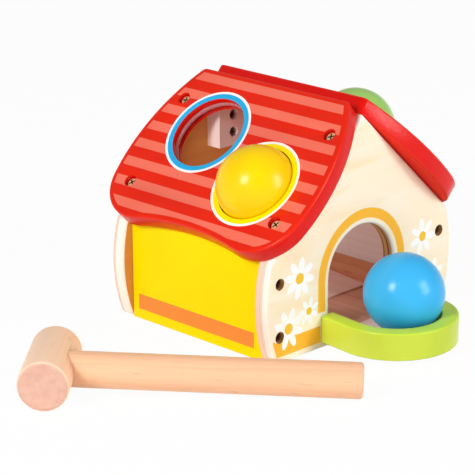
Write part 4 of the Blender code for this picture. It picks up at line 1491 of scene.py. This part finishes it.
BOARD_RINGS = 240.0
BLOCK_RINGS = 320.0
LENGTHWISE = along(Vector((0.0, 1.0, 0.0)), Vector((0.09, 0.0, 0.05)))
UPRIGHT = Matrix.Translation((0.03, 0.02, 0.0))
grey_boards = bare_wood("grey boards", LENGTHWISE, GREY_PINE, BOARD_RINGS)
pale_boards = bare_wood("pale boards", LENGTHWISE, PALE_PINE, BOARD_RINGS)
shaded_tan_boards = bare_wood("shaded tan boards", LENGTHWISE, SHADED_TAN_PINE, BOARD_RINGS)
shaded_red_strips = bare_wood("shaded red strips", LENGTHWISE, SHADED_RED_PINE, BOARD_RINGS)
pale_blocks = bare_wood("pale blocks", UPRIGHT, PALE_PINE, BLOCK_RINGS)

STRIPE_LOW_Z = 5.9 * mm
STRIPE_HIGH_Z = 14.8 * mm
STRIPE_FRONT_Y = -44.4 * mm
STRIPE_REAR_Y = 46.0 * mm
STRIPE_FROM_X = WALL_X - 0.1 * mm
WALL_STRIPE = linear(243, 144, 62)
WALL_YELLOW = {"Colour": linear(255, 226, 0), "Deep": linear(255, 222, 0), "Gloss": 0.48}
WALL_SHINE = 0.07
wall_paint, tree, shader, coordinates = new_finish("yellow wall paint", specular=WALL_SHINE)
film = use_group(tree, paint_film, Vector=coordinates, **WALL_YELLOW)
x, y, z = axes_of(tree, coordinates)
stripe = between(tree, z, STRIPE_LOW_Z, STRIPE_HIGH_Z)
stripe = calc(tree, "MULTIPLY", stripe, between(tree, y, STRIPE_FRONT_Y, STRIPE_REAR_Y))
outer_side = calc(tree, "GREATER_THAN", calc(tree, "ABSOLUTE", x), STRIPE_FROM_X)
stripe = calc(tree, "MULTIPLY", stripe, outer_side)
striped = mixed(tree, stripe, film["Colour"], WALL_STRIPE)
surfaced(tree, shader, striped, film["Roughness"], film["Height"], FILM_DEPTH)
for piece in (left_wall, right_wall):
    piece.data.materials[PAINT_SLOT] = wall_paint
    piece.data.materials[BARE_SLOT] = grey_boards
finish_nodes(pale_boards, "ramp_wedge", "tray_floor")
finish_nodes(shaded_tan_boards, "base_board")
finish_nodes(shaded_red_strips, "left_guide_strip", "right_guide_strip")
finish_nodes(pale_blocks, "front_peak_block", "rear_peak_block")
print("wall and bare wood finishes ready")

# %% [markdown]
# The balls and the tray's rail are dipped in glossy paint. A smoother film and a stronger shine
# than on the boards show the soft boxes as pale windows on the balls. The rail's flat top is painted a
# greener colour than its front, which is painted light that offsets the red and yellow light thrown onto
# it.

# %% Ball and rail paints
DIP_GLOSS = 0.24
DIP_DEPTH = 0.004 * mm
BALL_SHINE = 0.24
RAIL_SHINE = 0.3
RAIL_BLEND = 1.0 * mm
BALL_COLOURS = {
    "blue": (linear(66, 182, 239), linear(48, 176, 236)),
    "yellow": (linear(255, 216, 0), linear(255, 206, 0)),
    "green": (linear(170, 215, 112), linear(160, 209, 104)),
    "red": (linear(226, 40, 34), linear(214, 32, 28)),
}
RAIL_GREEN = (linear(203, 218, 68), linear(195, 213, 60))
RAIL_TOP_PAINTED_LIGHT = linear(200, 233, 60)


def glossy_paint(name, colour, deep, specular, top=None):
    """A shiny dipped paint, which may take a greener top on the rail, painted light for the top."""
    material, tree, shader, coordinates = new_finish(name, specular=specular)
    film = use_group(tree, paint_film, Vector=coordinates, Colour=colour, Deep=deep, Gloss=DIP_GLOSS)
    painted = film["Colour"]
    if top:
        _, _, z = axes_of(tree, coordinates)
        # The greener top is painted light.
        painted = mixed(tree, ranged(tree, z, FENCE_TOP_Z - RAIL_BLEND, FENCE_TOP_Z), painted, top)
    surfaced(tree, shader, painted, film["Roughness"], film["Height"], DIP_DEPTH)
    return material


for colour, (light, deep) in BALL_COLOURS.items():
    dress(balls[colour], glossy_paint(f"{colour} ball paint", light, deep, BALL_SHINE))
dress(rail, glossy_paint("green rail paint", *RAIL_GREEN, RAIL_SHINE, RAIL_TOP_PAINTED_LIGHT))
print("glossy paints", len(BALL_COLOURS) + 1)

# %% [markdown]
# The hammer is plain beech, only sanded: a pale, slightly pink wood with fine flecks. Its two
# pieces are turned along the grain, so the grain follows each piece's own axis. The head's tones are
# lighter than the handle's: painted light, since less light falls on the head's side.

# %% Hammer wood
# The head's lighter tones are painted light for its less lit side.
LIT_BEECH_HEAD = tones((255, 217, 186), (254, 210, 177), (245, 192, 158))
BEECH_ROD = tones((248, 197, 157), (243, 186, 146), (232, 168, 130))
HEAD_RINGS = 200.0
ROD_RINGS = 180.0
head_end = HAMMER_L / 2 - END_BLEND
dress(hammer_head, bare_wood("beech head", HEAD_AT, LIT_BEECH_HEAD, HEAD_RINGS, head_end))
dress(hammer_handle, bare_wood("beech handle", HANDLE_AT, BEECH_ROD, ROD_RINGS))
print("hammer wood ready")

# %% [markdown]
# The roof's screws are zinc-plated steel with a yellowish tint, a little stained. Those sunk in the
# gables and blocks are painted darker, which is painted shade in their bores, and every cross slot is
# painted dark as shade too. The soft rings are clear plastic; the red of the groove behind them is
# painted into their colour as a pink, which is painted light, and some light passes and some is scattered.

# %% Steel and soft plastic
STAIN_SCALE = 700.0
MILK_SCALE = 240.0
PLASTIC_CLEAR = 0.3
PLASTIC_IOR = 1.45
# A pink that paints in the red of the groove seen through the clear plastic: painted light.
PLASTIC_GROOVE_PINK_LIGHT = linear(236, 146, 148)
PLASTIC_GROOVE_PINK_DEEP = linear(226, 126, 130)


def screw_steel(name, bright, stained, metal):
    """Steel with a stain that wanders over it."""
    material, tree, shader, coordinates = new_finish(name)
    shader["Metallic"].default_value = metal
    stain = ranged(tree, noise(tree, coordinates, STAIN_SCALE, 3.0), 0.3, 0.7)
    put(tree, shader["Base Color"], mixed(tree, stain, bright, stained))
    put(tree, shader["Roughness"], ranged(tree, stain, 0.0, 1.0, 0.28, 0.44))
    return material


plated_steel = screw_steel("plated steel", linear(252, 234, 184), linear(232, 206, 150), 0.5)
# Darker steel for the screws sunk in bores: painted shade.
shaded_steel = screw_steel("shaded steel", linear(120, 82, 62), linear(84, 54, 40), 0.9)
# The dark cross slot is painted shade.
shaded_slot = screw_steel("shaded slot", linear(70, 48, 34), linear(46, 30, 22), 0.3)
for piece in screws:
    piece.data.materials[HEAD_SLOT] = plated_steel if piece.name.startswith("roof") else shaded_steel
    piece.data.materials[CROSS_SLOT] = shaded_slot
finish_nodes(plated_steel, "fence_pin_left", "fence_pin_right")

soft_plastic, tree, shader, coordinates = new_finish("milky soft plastic")
shader["Transmission Weight"].default_value = PLASTIC_CLEAR
shader["IOR"].default_value = PLASTIC_IOR
milk = ranged(tree, noise(tree, coordinates, MILK_SCALE), 0.3, 0.7)
put(tree, shader["Base Color"], mixed(tree, milk, PLASTIC_GROOVE_PINK_LIGHT, PLASTIC_GROOVE_PINK_DEEP))
put(tree, shader["Roughness"], ranged(tree, milk, 0.0, 1.0, 0.16, 0.3))
for piece in rings.values():
    dress(piece, soft_plastic)
print("steel and plastic ready")
